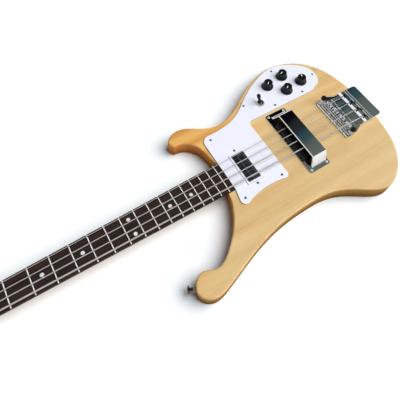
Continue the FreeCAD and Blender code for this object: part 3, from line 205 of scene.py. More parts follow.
# Woods: waves of grain to a metre along the neck, across it and through it, and their shares of the colour
wood_streaks = (1.6, 26, 26)
wood_figure = (0.9, 10, 10)
wood_fibres = (12, 420, 420)
wood_pores = (55, 2100, 2100)
wood_shares = (0.55, 0.16, 0.29)
wood_pore_shade = [(0.28, 0.86), (0.46, 1.0)]
side_shares = (0.8, 0.2)
neck_grain = 0.7
board_streaks = (5, 150, 150)
board_fibres = (22, 900, 900)
board_pores = (60, 1900, 1900)
board_shares = (0.65, 0.35)
board_pore_depth = [(0.3, 0.0), (0.42, 1.0)]
board_pore_shade = [(0.0, 0.55), (1.0, 1.0)]

# Woods: how level a face is where it has its top colour rather than the sides' painted shade, and where it
# has its gloss, and their coat, gloss and roughness
wood_top_turn = (0.1, 0.9)
wood_gloss_turn = (0.8, 0.98)
wood_coat = (0.0, 0.3)
wood_gloss = (0.0, 0.5)
wood_rough = (0.3, 0.44)
board_rough = (0.38, 0.6)

# Woods: amber patches and an amber treble horn, and painted light that makes the upright sides of the treble
# horn and the walls beside the heel that face the head lighter and warmer
amber_patches = (4, 14, 14)
amber_reach = [(0.48, 0.0), (0.7, 0.4)]
horn_tint_x = (-120 * MM, -200 * MM)
horn_tint_y = (20 * MM, 50 * MM)
horn_streaks = (0.8, 1.0)
wall_turn = (-0.25, -0.7)
wall_y = (-120 * MM, -90 * MM)
painted_light_gain = (1.7, 1.27, 1.18, 1)

# Metals: colours, among them painted highlights and painted shade of wires and of the cover's underside, and
# marks to a metre along each axis
chrome_tones = (srgb(226, 230, 232), srgb(240, 242, 243))
steel_tones = (srgb(176, 176, 174), srgb(204, 204, 201))
nickel_tones = (srgb(206, 201, 188), srgb(226, 222, 212))
bronze_tones = (srgb(92, 78, 72), srgb(120, 104, 97))
ball_tones = (srgb(30, 29, 28), srgb(52, 50, 47))
bright_tones = (srgb(222, 222, 220), srgb(242, 242, 240))
string_tones = (srgb(206, 202, 194), srgb(226, 223, 216))
string_flank_shade = srgb(188, 184, 176)
fret_highlight_tones = (srgb(244, 241, 234), srgb(252, 250, 246))
fret_flank_shade = srgb(58, 54, 50)
cover_underside_shade = (srgb(12, 12, 13), srgb(26, 26, 27))
smudges = even(42)
plate_scratches = (80, 900, 300)
screw_scratches = (500, 70, 500)
fret_scratches = (900, 60, 900)
string_tarnish = (60, 400, 400)
cast_dimples = (160, 140, 160)
even_scratches = even(300)
fine_wear = even(500)

# Metals: smudges that count as wear, painted shade in the grooves of the wrap, lit crowns and painted shade
# on the flanks of wires, and parts of the cover: painted shade on its underside and a painted reflection on
# its legs
film_range = (0.14, 0.42)
wrap_shade = [(0.05, 0.78), (0.4, 1.0)]
string_lit_crown_turn = (0.6, 0.95)
string_bareness = (1.0, 0.45)
fret_flank_turn = (0.4, 0.85)
cover_under_turn = -0.1
cover_leg_turn = (0.3, 0.5)
cover_leg_bareness = (1.0, 0.35)

# Metals: roughness of wires, of caps and of the cover, with what wear adds to it
string_rough = (0.26, 0.4)
fret_rough = (0.24, 0.4)
cap_rough = (0.06, 0.28)
cap_wear = (0.0, 0.12)
cover_rough = (0.015, 0.6)
cover_wear = (0.0, 0.09)

# Scale at which a wave texture has one wave to each unit of length
wave_unit = 2 * math.pi / 20

# Plastics, inlay and foam: colours, marks to a metre, roughness, and how level a face is past a cut edge,
# where the cut edge gets painted shade
guard_tones = (srgb(236, 236, 247), srgb(241, 241, 251))
guard_edge_shade = srgb(190, 192, 200)
pickup_tones = (srgb(17, 17, 19), srgb(28, 28, 31))
neck_pickup_tones = (srgb(24, 25, 30), srgb(38, 39, 46))
knob_tones = (srgb(10, 10, 13), srgb(19, 19, 23))
cap_tones = (srgb(10, 10, 13), srgb(20, 20, 24))
pointer_tones = (srgb(226, 226, 222), srgb(240, 240, 236))
pearl_tones = [(0.1, srgb(232, 232, 227)), (0.55, srgb(212, 215, 214)), (0.9, srgb(224, 219, 214))]
foam_tones = [(0.1, srgb(128, 127, 123)), (0.7, srgb(186, 184, 179))]
plastic_clouds = even(26)
plastic_marks = (90, 640, 90)
pearl_patches = even(260)
foam_cells = even(1700)
pearl_rough = (0.16, 0.3)
foam_rough = (0.85, 1.0)
cut_edge_turn = (0.5, 0.9)

# Samples for soft edges
bevel_samples = 6


# Shader building

def add(tree, kind, inputs=None, output=0, **settings):
    """Adds a shader node, sets or links its inputs and returns one of its outputs."""
    node = tree.nodes.new("ShaderNode" + kind)
    for key, value in settings.items():
        setattr(node, key, value)
    for key, value in (inputs or {}).items():
        if isinstance(value, bpy.types.NodeSocket):
            tree.links.new(value, node.inputs[key])
        else:
            node.inputs[key].default_value = value
    return node.outputs[output]


def new_material(name, **sockets):
    """A principled material with some of its sockets set, and its node tree and shader."""
    material = bpy.data.materials.new(name)
    material.use_nodes = True
    tree = material.node_tree
    shader = tree.nodes["Principled BSDF"]
    for socket, value in sockets.items():
        shader.inputs[socket.replace("_", " ")].default_value = value
    return material, tree, shader


def place_in(tree, stretch, shift=(0, 0, 0)):
    """Coordinates of the part, stretched along each axis."""
    coordinates = add(tree, "TexCoord", output="Object")
    return add(tree, "Mapping", {"Vector": coordinates, "Scale": stretch, "Location": shift})


def noise(tree, stretch, detail, roughness, distortion=0.0, shift=(0, 0, 0)):
    """Cloudy values from 0 to 1 in the part's coordinates, stretched along each axis."""
    vector = place_in(tree, stretch, shift)
    return add(tree, "TexNoise", {"Vector": vector, "Scale": 1.0, "Detail": detail, "Roughness": roughness,
                                  "Distortion": distortion})


def ramp(tree, share, stops):
    """A colour or grey that runs through the given stops."""
    node = tree.nodes.new("ShaderNodeValToRGB")
    while len(node.color_ramp.elements) < len(stops):
        node.color_ramp.elements.new(0.5)
    for element, (place, colour) in zip(node.color_ramp.elements, stops):
        element.position = place
        element.color = colour if hasattr(colour, "__len__") else (colour, colour, colour, 1.0)
    tree.links.new(share, node.inputs["Fac"])
    return node.outputs["Color"]


def blend(tree, share, first, second, how="MIX"):
    """Mixes two colours."""
    node = tree.nodes.new("ShaderNodeMix")
    node.data_type = "RGBA"
    node.blend_type = how
    for number, value in ((0, share), (6, first), (7, second)):
        if isinstance(value, bpy.types.NodeSocket):
            tree.links.new(value, node.inputs[number])
        else:
            node.inputs[number].default_value = value
    return node.outputs[2]


def tinted(tree, colour, tint):
    """One colour times another."""
    return blend(tree, 1.0, colour, tint, "MULTIPLY")


def calc(tree, how, first, second=0.0):
    """The result of a sum with one or two values."""
    return add(tree, "Math", {0: first, 1: second}, operation=how)


def weigh(tree, values, shares):
    """The sum of values, each times its share."""
    total = 0.0
    for value, share in zip(values, shares):
        total = add(tree, "Math", {0: value, 1: share, 2: total}, operation="MULTIPLY_ADD")
    return total


def spread(tree, share, ends):
    """A value from 0 to 1 spread over another range."""
    return add(tree, "MapRange", {"Value": share, "To Min": ends[0], "To Max": ends[1]})


def between(tree, value, limits, ends=(0.0, 1.0), **settings):
    """A value spread from its limits over another range, and held at the ends of it."""
    return add(tree, "MapRange", {"Value": value, "From Min": limits[0], "From Max": limits[1],
                                  "To Min": ends[0], "To Max": ends[1]}, **settings)


def part_place(tree, axis):
    """How far along one axis of the part a point lies."""
    return add(tree, "SeparateXYZ", {"Vector": add(tree, "TexCoord", output="Object")}, output=axis)


def face_turn(tree, axis):
    """How far a face looks along one axis, from -1 to 1."""
    return add(tree, "SeparateXYZ", {"Vector": add(tree, "NewGeometry", output="Normal")}, output=axis)


def facing_up(tree, limits):
    """One on level faces, nought on upright ones."""
    level = calc(tree, "ABSOLUTE", face_turn(tree, "Z"))
    return between(tree, level, limits, interpolation_type="SMOOTHSTEP")


def treble_side(tree):
    """One on the treble horn and along the treble edge, nought elsewhere."""
    across = between(tree, part_place(tree, "Y"), horn_tint_y)
    ahead = between(tree, part_place(tree, "X"), horn_tint_x)
    return calc(tree, "MULTIPLY", across, ahead)


def cutaway_wall(tree):
    """One on walls beside the heel that face the head, nought elsewhere."""
    facing = between(tree, face_turn(tree, "X"), wall_turn)
    near = between(tree, part_place(tree, "Y"), wall_y)
    return calc(tree, "MULTIPLY", facing, near)


def dress(tree, shader, colour, roughness, height, bump, depth, soft_edge=0.0):
    """Links colour, roughness and relief to a shader."""
    tree.links.new(colour, shader.inputs["Base Color"])
    tree.links.new(roughness, shader.inputs["Roughness"])
    relief = {"Strength": bump, "Distance": depth, "Height": height}
    if soft_edge:
        relief["Normal"] = add(tree, "Bevel", {"Radius": soft_edge}, samples=bevel_samples)
    tree.links.new(add(tree, "Bump", relief), shader.inputs["Normal"])


# Materials

def make_wood(name, tones, side_shade_tone, along=1.0):
    """Lacquered pale wood with streaks, fibres and pores along the neck, deeper on its upright faces, where
    painted shade darkens it towards the bottom and over the round top edge.
    """
    material, tree, shader = new_material(name, Coat_Roughness=0.08, Coat_IOR=1.45)

    def grain(stretch):
        return (stretch[0] * along, stretch[1], stretch[2])

    streaks = noise(tree, grain(wood_streaks), detail=5, roughness=0.6, distortion=0.6)
    figure_place = place_in(tree, grain(wood_figure), shift=(0.3, 0.1, 0))
    figure = add(tree, "TexWave", {"Vector": figure_place, "Scale": 0.9, "Distortion": 9.0, "Detail": 3.0,
                                   "Detail Scale": 0.6}, output="Fac", bands_direction="Y")
    fibres = noise(tree, grain(wood_fibres), detail=3, roughness=0.6)
    pores = noise(tree, grain(wood_pores), detail=2, roughness=0.5)
    patches = noise(tree, grain(amber_patches), detail=3, roughness=0.6, distortion=0.5, shift=(2, 5, 1))
    mixed = weigh(tree, (streaks, figure, fibres), wood_shares)

    treble = treble_side(tree)
    horn = calc(tree, "MULTIPLY", treble, spread(tree, streaks, horn_streaks))
    amber = calc(tree, "MAXIMUM", ramp(tree, patches, amber_reach), horn)
    top = tinted(tree, ramp(tree, mixed, tones), ramp(tree, pores, wood_pore_shade))
    top = blend(tree, amber, top, ramp(tree, mixed, amber_tones))

    # Painted shade: upright sides run from a dark lower colour up to a lighter one
    rise = between(tree, part_place(tree, "Z"), side_shade_fade)
    side = blend(tree, weigh(tree, (rise, fibres), side_shares), side_shade_tone[0], side_shade_tone[1])
    # Painted light: upright sides of the treble horn and walls beside the heel that face the head are
    # lightened and warmed
    painted_light = calc(tree, "MAXIMUM", treble, cutaway_wall(tree))
    side = tinted(tree, side, blend(tree, painted_light, WHITE, painted_light_gain))

    # Painted shade: faces take the shaded side colour as they turn upright over the round top edge
    colour = blend(tree, facing_up(tree, wood_top_turn), side, top)
    level = facing_up(tree, wood_gloss_turn)
    tree.links.new(spread(tree, level, wood_coat), shader.inputs["Coat Weight"])
    tree.links.new(spread(tree, level, wood_gloss), shader.inputs["Specular IOR Level"])
    dress(tree, shader, colour, spread(tree, fibres, wood_rough), height=fibres, bump=0.05, depth=0.1 * MM)
    return material


def make_board_wood():
    """Dark open-pored wood with reddish streaks."""
    material, tree, shader = new_material("fretboard_wood", Specular_IOR_Level=0.1)
    streaks = noise(tree, board_streaks, detail=5, roughness=0.65, distortion=0.8)
    fibres = noise(tree, board_fibres, detail=3, roughness=0.6)
    colour = ramp(tree, weigh(tree, (streaks, fibres), board_shares), board_tones)
    pores = ramp(tree, noise(tree, board_pores, detail=2, roughness=0.5), board_pore_depth)
    colour = tinted(tree, colour, ramp(tree, pores, board_pore_shade))
    dress(tree, shader, colour, spread(tree, fibres, board_rough), height=pores, bump=0.25, depth=0.2 * MM)
    return material


def make_metal(name, tones, rough, marks, bump, soft_edge, bare=1.0, depth=0.05 * MM):
    """Plated metal with smudges, fine scratches and edges that catch the light."""
    material, tree, shader = new_material(name, Metallic=bare, Specular_IOR_Level=0.5)
    smudge = noise(tree, smudges, detail=5, roughness=0.62, distortion=0.4)
    scratches = noise(tree, marks, detail=2, roughness=0.5)
    roughness = between(tree, calc(tree, "MULTIPLY", smudge, scratches), film_range, rough)
    dress(tree, shader, blend(tree, smudge, *tones), roughness, scratches, bump, depth, soft_edge)
    return material


def make_string_metal():
    """Steel wire with a wound wrap, whose turns follow the wire's length, with painted shade in the grooves
    of the wrap and on its flanks, which also shine less than its crown.
    """
    material, tree, shader = new_material("wound_string")
    length = add(tree, "UVMap", uv_map="wire")
    wrap = add(tree, "TexWave", {"Vector": length, "Scale": wave_unit}, output="Fac", bands_direction="Y")
    tarnish = noise(tree, string_tarnish, detail=3, roughness=0.6)
    # Painted shade in the grooves between the turns of the wrap
    colour = tinted(tree, blend(tree, tarnish, *string_tones), ramp(tree, wrap, wrap_shade))
    # Painted highlight and shade: the top of the wire keeps its bright colour and full shine, its flanks turn
    # darker and duller
    lit_crown = between(tree, face_turn(tree, "Z"), string_lit_crown_turn)
    colour = blend(tree, lit_crown, string_flank_shade, colour)
    tree.links.new(spread(tree, lit_crown, string_bareness), shader.inputs["Metallic"])
    dress(tree, shader, colour, spread(tree, tarnish, string_rough), height=wrap, bump=0.2, depth=0.1 * MM)
    return material


def make_fret_wire():
    """Fret wire with a painted highlight along its crown and painted shade on its flanks."""
    material, tree, shader = new_material("fret_wire", Metallic=0.1, Specular_IOR_Level=0.5)
    # Painted highlight along the crown and painted shade on the flanks, by how far a face turns along the
    # neck
    flank_shade = between(tree, calc(tree, "ABSOLUTE", face_turn(tree, "X")), fret_flank_turn)
    wear = noise(tree, fret_scratches, detail=2, roughness=0.5)
    colour = blend(tree, flank_shade, blend(tree, wear, *fret_highlight_tones), fret_flank_shade)
    dress(tree, shader, colour, spread(tree, wear, fret_rough), height=wear, bump=0.1, depth=0.05 * MM)
    return material


def make_capped_metal(name, level, tones):
    """Black cap above a level, bright plating below it."""
    material, tree, shader = new_material(name, Specular_IOR_Level=0.3)
    black = calc(tree, "GREATER_THAN", part_place(tree, "Z"), level)
    wear = noise(tree, fine_wear, detail=3, roughness=0.6)
    colour = blend(tree, black, blend(tree, wear, *tones), blend(tree, wear, *cap_tones))
    tree.links.new(calc(tree, "SUBTRACT", 1.0, black), shader.inputs["Metallic"])
    roughness = calc(tree, "ADD", spread(tree, black, cap_rough), spread(tree, wear, cap_wear))
    dress(tree, shader, colour, roughness, height=wear, bump=0.05, depth=0.1 * MM, soft_edge=0.2 * MM)
    return material


def make_cover_plate():
    """Bright plating outside, with less shine on the legs so that their bright colour stands for a painted
    reflection of a bright surround, and painted shade, dull and dark, on the faces that look down.
    """
    material, tree, shader = new_material("cover_plate", Specular_IOR_Level=0.5)
    # Painted shade: faces that look down are dark and dull
    inside = calc(tree, "LESS_THAN", face_turn(tree, "Z"), cover_under_turn)
    # Painted reflection: the legs have less shine, so their bright colour shows as if they mirrored a bright
    # surround
    leg_reflection = between(tree, calc(tree, "ABSOLUTE", face_turn(tree, "Y")), cover_leg_turn, cover_leg_bareness)
    smudge = noise(tree, smudges, detail=5, roughness=0.62, distortion=0.4)
    scratches = noise(tree, plate_scratches, detail=2, roughness=0.5)
    colour = blend(tree, inside, blend(tree, smudge, *chrome_tones), blend(tree, smudge, *cover_underside_shade))
    outside = calc(tree, "SUBTRACT", 1.0, inside)
    tree.links.new(calc(tree, "MULTIPLY", outside, leg_reflection), shader.inputs["Metallic"])
    film = spread(tree, calc(tree, "MULTIPLY", smudge, scratches), cover_wear)
    roughness = calc(tree, "ADD", spread(tree, inside, cover_rough), film)
    dress(tree, shader, colour, roughness, height=scratches, bump=0.008, depth=0.05 * MM)
    return material


def make_plastic(name, tones, rough, grain, bump, edge_shade=None, soft_edge=0.0, gloss=0.5, coat=0.12):
    """Moulded or cut plastic with faint clouding, handling marks and a fine surface grain, and painted shade
    on its cut edges if a shade colour is given.
    """
    material, tree, shader = new_material(name, Specular_IOR_Level=gloss, Coat_Weight=coat,
                                          Coat_Roughness=0.06)
    clouds = noise(tree, plastic_clouds, detail=4, roughness=0.6)
    skin = noise(tree, even(grain), detail=3, roughness=0.55)
    marks = noise(tree, plastic_marks, detail=2, roughness=0.5)
    colour = blend(tree, clouds, *tones)
    if edge_shade:
        # Painted shade on the cut edges
        colour = blend(tree, facing_up(tree, cut_edge_turn), edge_shade, colour)
    roughness = spread(tree, calc(tree, "MULTIPLY", skin, marks), rough)
    dress(tree, shader, colour, roughness, height=skin, bump=bump, depth=0.1 * MM, soft_edge=soft_edge)
    return material


def make_pearl():
    """Pale inlay with soft pearly patches."""
    material, tree, shader = new_material("pearl_inlay", Coat_Weight=0.3, Coat_Roughness=0.05)
    vector = place_in(tree, pearl_patches)
    patches = add(tree, "TexVoronoi", {"Vector": vector, "Scale": 1.0}, feature="SMOOTH_F1")
    colour = ramp(tree, patches, pearl_tones)
    dress(tree, shader, colour, spread(tree, patches, pearl_rough), height=patches, bump=0.05, depth=0.1 * MM)
    return material


def make_foam():
    """Grey open-cell foam."""
    material, tree, shader = new_material("mute_foam", Sheen_Weight=0.2, Specular_IOR_Level=0.2)
    cells = add(tree, "TexVoronoi", {"Vector": place_in(tree, foam_cells), "Scale": 1.0, "Randomness": 1.0})
    colour = ramp(tree, cells, foam_tones)
    dress(tree, shader, colour, spread(tree, cells, foam_rough), height=cells, bump=0.8, depth=0.4 * MM)
    return material


# Materials of the record's slots
materials = {
    "body_wood": make_wood("body_lacquer", wood_tones, side_shade_tones),
    "neck_wood": make_wood("neck_lacquer", neck_tones, neck_side_shade_tones, along=neck_grain),
    "board_wood": make_board_wood(),
    "pearl": make_pearl(),
    "guard_white": make_plastic("guard_sheet", guard_tones, rough=(0.2, 0.36), grain=900, bump=0.02,
                                edge_shade=guard_edge_shade),
    "pickup_black": make_plastic("pickup_case", pickup_tones, rough=(0.3, 0.55), grain=1600, bump=0.12,
                                 soft_edge=0.4 * MM),
    "black_plastic": make_plastic("knob_plastic", knob_tones, rough=(0.22, 0.42), grain=1300, bump=0.05,
                                  soft_edge=0.3 * MM, gloss=0.28, coat=0.0),
    "chrome": make_metal("chrome_plate", chrome_tones, rough=(0.02, 0.06), marks=plate_scratches,
                         bump=0.008, soft_edge=0.4 * MM),
    "steel": make_metal("screw_steel", steel_tones, rough=(0.2, 0.4), marks=screw_scratches,
                        bump=0.06, soft_edge=0.2 * MM),
    "string_steel": make_string_metal(),
    "foam": make_foam(),
}

# Finishes of single pieces
ball_metal = make_metal("ball_end", ball_tones, rough=(0.18, 0.34), marks=fine_wear,
                        bump=0.05, soft_edge=0.2 * MM)
bright_screw = make_metal("bright_screw", bright_tones, rough=(0.3, 0.5), marks=screw_scratches,
                          bump=0.06, soft_edge=0.2 * MM, bare=0.25)
pointer_paint = make_plastic("pointer_paint", pointer_tones, rough=(0.35, 0.55), grain=1500, bump=0.05)
cast_finish = make_metal("cast_chrome", chrome_tones, rough=(0.03, 0.08), marks=cast_dimples,
                         bump=1.0, soft_edge=1.0 * MM, depth=6.0 * MM)
thumb_cap_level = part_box("mute_thumbscrew_bass")[1].z - thumb_cap_height
thumb_finish = make_capped_metal("thumbscrew_cap", thumb_cap_level, chrome_tones)
lever_cap_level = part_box("toggle_nut")[1].z + lever_bare_height
finishes = {
    "frets": make_fret_wire(),
    "bridge_pickup_cover": make_cover_plate(),
    "strap_buttons": make_metal("button_bronze", bronze_tones, rough=(0.06, 0.16), marks=even_scratches,
                                bump=0.02, soft_edge=0.3 * MM),
    "neck_pickup": make_plastic("neck_pickup_case", neck_pickup_tones, rough=(0.12, 0.28), grain=1600,
                                bump=0.03, soft_edge=1.1 * MM, gloss=1.0, coat=1.0),
    "toggle_nut": make_metal("toggle_nickel", nickel_tones, rough=(0.2, 0.36), marks=even_scratches,
                             bump=0.04, soft_edge=0.6 * MM, bare=0.8),
    "toggle_lever": make_capped_metal("toggle_cap", lever_cap_level, nickel_tones),
    "mute_bar": cast_finish,
    "mute_thumbscrew_bass": thumb_finish,
    "mute_thumbscrew_treble": thumb_finish,
    "bridge_base": cast_finish,
}
for name in string_diameters:
    finishes["saddle_" + name] = cast_finish


# Mesh building

def new_piece(name, vertices, faces, material, body, smooth_angle):
    """A mesh piece that rides on a body of the part."""
    mesh = bpy.data.meshes.new(name)
    mesh.from_pydata([tuple(v) for v in vertices], [], faces)
    mesh.materials.append(material)
    mesh.validate()
    mesh.shade_smooth()
    mesh.set_sharp_from_angle(angle=math.radians(smooth_angle))
    piece = bpy.data.objects.new(name, mesh)
    bpy.context.scene.collection.objects.link(piece)
    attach(piece, body)
    return piece


def round_angles(count):
    """Angles that go once round in even steps."""
    return [2 * math.pi * side / count for side in range(count)]


def ring_faces(rings, sides):
    """Faces between rings of points that follow each other, with a cap on each end."""
    faces = []
    for ring in range(rings - 1):
        for side in range(sides):
            after = (side + 1) % sides
            faces.append((ring * sides + side, ring * sides + after, (ring + 1) * sides + after,
                          (ring + 1) * sides + side))
    faces.append(tuple(reversed(range(sides))))
    faces.append(tuple(range((rings - 1) * sides, rings * sides)))
    return faces


def add_rings(rings, vertices, faces, flip=False):
    """Adds rings of points, and the faces between and over them, to lists of vertices and faces."""
    start = len(vertices)
    for ring in rings:
        vertices.extend(ring)
    for face in ring_faces(len(rings), len(rings[0])):
        face = tuple(start + index for index in face)
        faces.append(face[::-1] if flip else face)


def loose_parts(node):
    """Points of each separate solid in a node's mesh."""
    mesh = nodes[node].data
    places = {}
    for vertex in mesh.vertices:
        places.setdefault(tuple(round(c, 6) for c in vertex.co), []).append(vertex.index)
    leader = list(range(len(mesh.vertices)))

    def find(index):
        while leader[index] != index:
            leader[index] = leader[leader[index]]
            index = leader[index]
        return index

    for same in places.values():
        for index in same[1:]:
            leader[find(index)] = find(same[0])
    for edge in mesh.edges:
        leader[find(edge.vertices[0])] = find(edge.vertices[1])
    parts = {}
    for vertex in mesh.vertices:
        parts.setdefault(find(vertex.index), []).append(vertex.co.copy())
    return list(parts.values())


def corners(points):
    """Lowest and highest corner of the box round some points."""
    low = Vector([min(p[axis] for p in points) for axis in range(3)])
    high = Vector([max(p[axis] for p in points) for axis in range(3)])
    return low, high


# Screws

def screw_seat(points):
    """Middle of a screw's head, the way that it faces, its head's radius and the screw's length."""
    low, high = corners(points)
    middle = (low + high) / 2
    way = (high - low).normalized()
    for _ in range(axis_steps):
        way = sum(((p - middle) * (p - middle).dot(way) for p in points), Vector((0, 0, 0))).normalized()
    along = [(p - middle).dot(way) for p in points]
    girths = [((p - middle) - way * reach).length for p, reach in zip(points, along)]
    radius = max(girths)
    if along[girths.index(radius)] < 0:
        way = -way
        along = [-reach for reach in along]
    return middle + way * max(along), way, radius, max(along) - min(along)


def head_level(share, angle):
    """Height of a screw's head, as a share of it, with a cross recess sunk in the dome."""
    dome = max(0.0, 1 - share ** dome_power) ** dome_root
    x, y = abs(share * math.cos(angle)), abs(share * math.sin(angle))
    arm, width = max(x, y), min(x, y)
    inside = min(1.0, max(0.0, (recess_half_width + recess_edge - width) / recess_edge))
    inside *= min(1.0, max(0.0, (recess_reach - arm) / recess_end))
    return dome - recess_depth * inside


def add_screw(points, turn, vertices, faces):
    """Adds one screw with a domed head and a pointed shank to lists of vertices and faces."""
    top, way, radius, length = screw_seat(points)
    height = radius * head_share
    shank = radius * shank_share
    facing = way.to_track_quat("Z", "Y").to_matrix()
    angles = round_angles(head_sides)
    below = [(shank * tip_share, -length), (shank, -length * taper_start), (shank, -height),
             (radius, -height)]
    outlines = [[corner] * head_sides for corner in below]
    for ring in range(head_rings):
        share = 1 - ring / head_rings
        outlines.append([(radius * share, height * (head_level(share, angle) - 1)) for angle in angles])
    rings = []
    for outline in outlines:
        ring = []
        for (r, z), angle in zip(outline, angles):
            ring.append(top + facing @ Vector((r * math.cos(angle + turn), r * math.sin(angle + turn), z)))
        rings.append(ring)
    add_rings(rings, vertices, faces)


def add_screws(node):
    """All screws of a node, in place of the plain solids."""
    vertices, faces = [], []
    for number, points in enumerate(loose_parts(node)):
        add_screw(points, first_turn + next_turn * number, vertices, faces)
    finish = bright_screw if node == "bridge_pickup_screws" else materials["steel"]
    screws = new_piece(node + "_crossed", vertices, faces, finish, "bass", sharp_screws)
    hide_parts(node)


# Knob pointers

def add_pointer(name, heading):
    """A thin painted bar on a knob's top, with rounded ends."""
    low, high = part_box(name)
    middle = Vector(((low.x + high.x) / 2, (low.y + high.y) / 2, high.z))
    start, end = [share * knob_grip_radius for share in pointer_span]
    half = pointer_width / 2
    turn = Matrix.Rotation(math.radians(heading), 3, "Z")
    levels = [(1.0, -pointer_sink), (1.0, pointer_rise * pointer_shoulder), (pointer_bevel, pointer_rise)]
    rings = []
    for share, z in levels:
        ring = []
        for centre, first, side in ((end - half, -90, 1), (start + half, 90, -1)):
            for step in range(pointer_end_steps + 1):
                angle = math.radians(first + 180 * step / pointer_end_steps)
                x = centre + half * math.cos(angle) - side * (1 - share) * half
                ring.append(middle + turn @ Vector((x, half * math.sin(angle) * share, z)))
        rings.append(ring)
    vertices, faces = [], []
    add_rings(rings, vertices, faces)
    pointer = new_piece(name + "_pointer", vertices, faces, pointer_paint, name, sharp_pointers)


# Strings

def slice_middle(node, low_x, high_x):
    """Middle of a node's points between two places along the neck."""
    low, high = corners([v.co for v in nodes[node].data.vertices if low_x <= v.co.x <= high_x])
    return (low + high) / 2


def bend(before, corner, after):
    """Points of a short curve in place of a corner."""
    first = corner + (before - corner).normalized() * kink_reach
    last = corner + (after - corner).normalized() * kink_reach
    points = []
    for step in range(kink_steps + 1):
        t = step / kink_steps
        points.append(first * (1 - t) ** 2 + corner * 2 * t * (1 - t) + last * t ** 2)
    return points


def post_turns(name, nut, end_z):
    """Turns of a string on its post, from where it comes in from the nut down to its end."""
    post_low, post_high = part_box("tuner_post_" + name)
    post = (post_low + post_high) / 2
    diameter = string_diameters[name]
    radius = post_radius + post_gap + diameter / 2
    pitch = diameter + turn_gap
    sense = -1 if post.y > 0 else 1
    away = Vector((nut.x - post.x, nut.y - post.y, 0))
    first = math.atan2(away.y, away.x) + sense * math.acos(radius / away.length)
    coil = []
    for step in range(string_turns * turn_steps + 1):
        share = step / turn_steps
        angle = first + sense * 2 * math.pi * share
        coil.append(Vector((post.x + radius * math.cos(angle), post.y + radius * math.sin(angle),
                            end_z + pitch * (string_turns - share))))
    return coil


def string_path(name):
    """Middle line of a string, from its ball over saddle and nut to the turns on its post."""
    node = "string_" + name
    low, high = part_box(node)
    ball = slice_middle(node, high.x - 2 * ball_radius, high.x)
    saddle_low, saddle_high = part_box("saddle_" + name)
    saddle_x = (saddle_low.x + saddle_high.x) / 2
    saddle = slice_middle(node, saddle_x - saddle_slice, saddle_x + saddle_slice)
    nut_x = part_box("nut")[1].x
    nut = slice_middle(node, nut_x - nut_slice, nut_x + nut_slice)
    coil = post_turns(name, nut, low.z + string_diameters[name] / 2)
    return [ball] + bend(ball, saddle, nut) + bend(saddle, nut, coil[0]) + coil


def add_tube(path, radius, vertices, faces, wire):
    """Adds a round wire along a path, and where each of its points lies along the wire's wrap."""
    normal = UP.copy()
    length = 0.0
    rings = []
    for number, point in enumerate(path):
        before, after = path[max(0, number - 1)], path[min(len(path) - 1, number + 1)]
        heading = (after - before).normalized()
        normal = (normal - heading * normal.dot(heading)).normalized()
        other = heading.cross(normal)
        length += (point - before).length
        rings.append([point + (normal * math.cos(angle) + other * math.sin(angle)) * radius
                      for angle in round_angles(string_sides)])
        for side in range(string_sides):
            wire.append((side / string_sides, length / wrap_pitch + side / string_sides))
    add_rings(rings, vertices, faces)


def add_ball(middle, vertices, faces, wire):
    """Adds the barrel at a string's end, with a rounded edge and a hole rim."""
    profile = [(r, -y) for r, y in ball_rim] + [ball_waist] + ball_rim[::-1]
    rings = []
    for r, y in profile:
        ring = []
        for angle in round_angles(head_sides):
            x, z = ball_radius * r * math.cos(angle), ball_radius * r * math.sin(angle)
            ring.append(middle + Vector((x, ball_width / 2 * y, z)))
        rings.append(ring)
        wire.extend((side / head_sides, ball_wrap) for side in range(head_sides))
    add_rings(rings, vertices, faces, flip=True)


def add_string(name, diameter):
    """A wound string with its ball, in place of the plain solid."""
    vertices, faces, wire = [], [], []
    path = string_path(name)
    add_tube(path, diameter / 2, vertices, faces, wire)
    wire_faces = len(faces)
    add_ball(path[0], vertices, faces, wire)
    finish = materials["string_steel"]
    string = new_piece("string_%s_wound" % name, vertices, faces, finish, "bass", sharp_strings)
    string.data.materials.append(ball_metal)
    for polygon in string.data.polygons:
        polygon.material_index = 1 if polygon.index >= wire_faces else 0
    layer = string.data.uv_layers.new(name="wire")
    for loop in string.data.loops:
        layer.data[loop.index].uv = wire[loop.vertex_index]
    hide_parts("string_" + name)


# Mute foam

def add_foam():
    """A crowned strip of foam on the mute's bar, its ends and long sides drawn in a little."""
    low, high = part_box("mute_pad")
    middle = (low + high) / 2
    half = (high - low) / 2
    rings = []
    for step in range(foam_steps + 1):
        along = 2 * step / foam_steps - 1
        end = max(0.0, (abs(along) - foam_end) / (1 - foam_end))
        draw_in = 1 - foam_pinch * abs(along) ** foam_pinch_power - foam_end_drop * end ** 2
        wave = 1 + sum(height * math.sin(count * along + start) for height, count, start in foam_waves)
        ring = []
        for angle in round_angles(foam_sides):
            x, z = math.cos(angle), math.sin(angle)
            x = math.copysign(abs(x) ** foam_corner, x) * draw_in * foam_width_share
            if z < 0:
                z = -abs(z) ** foam_corner
            else:
                z = z ** (foam_corner + foam_crown) * draw_in * wave * foam_top_share
            ring.append(middle + Vector((half.x * x, half.y * along, half.z * z)))
        rings.append(ring)
    vertices, faces = [], []
    add_rings(rings, vertices, faces)
    foam = new_piece("mute_foam_strip", vertices, faces, materials["foam"], "mute", sharp_foam)
    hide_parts("mute_pad")


# Solids

def finish_solids():
    """Gives each solid its own finish, or else the material of its slot."""
    slots = {entry["node"]: entry["material_slot"] for entry in frame["record"]["subparts"]}
    for name, piece in nodes.items():
        piece.data.materials.clear()
        piece.data.materials.append(finishes.get(name) or materials[slots[name]])


# Floor, surround, lamp and camera

def seen_directly(tree):
    """One for rays from the camera, from mirrors and through glass."""
    path = tree.nodes.new("ShaderNodeLightPath")
    either = calc(tree, "MAXIMUM", path.outputs["Is Camera Ray"], path.outputs["Is Glossy Ray"])
    return calc(tree, "MAXIMUM", either, path.outputs["Is Transmission Ray"])


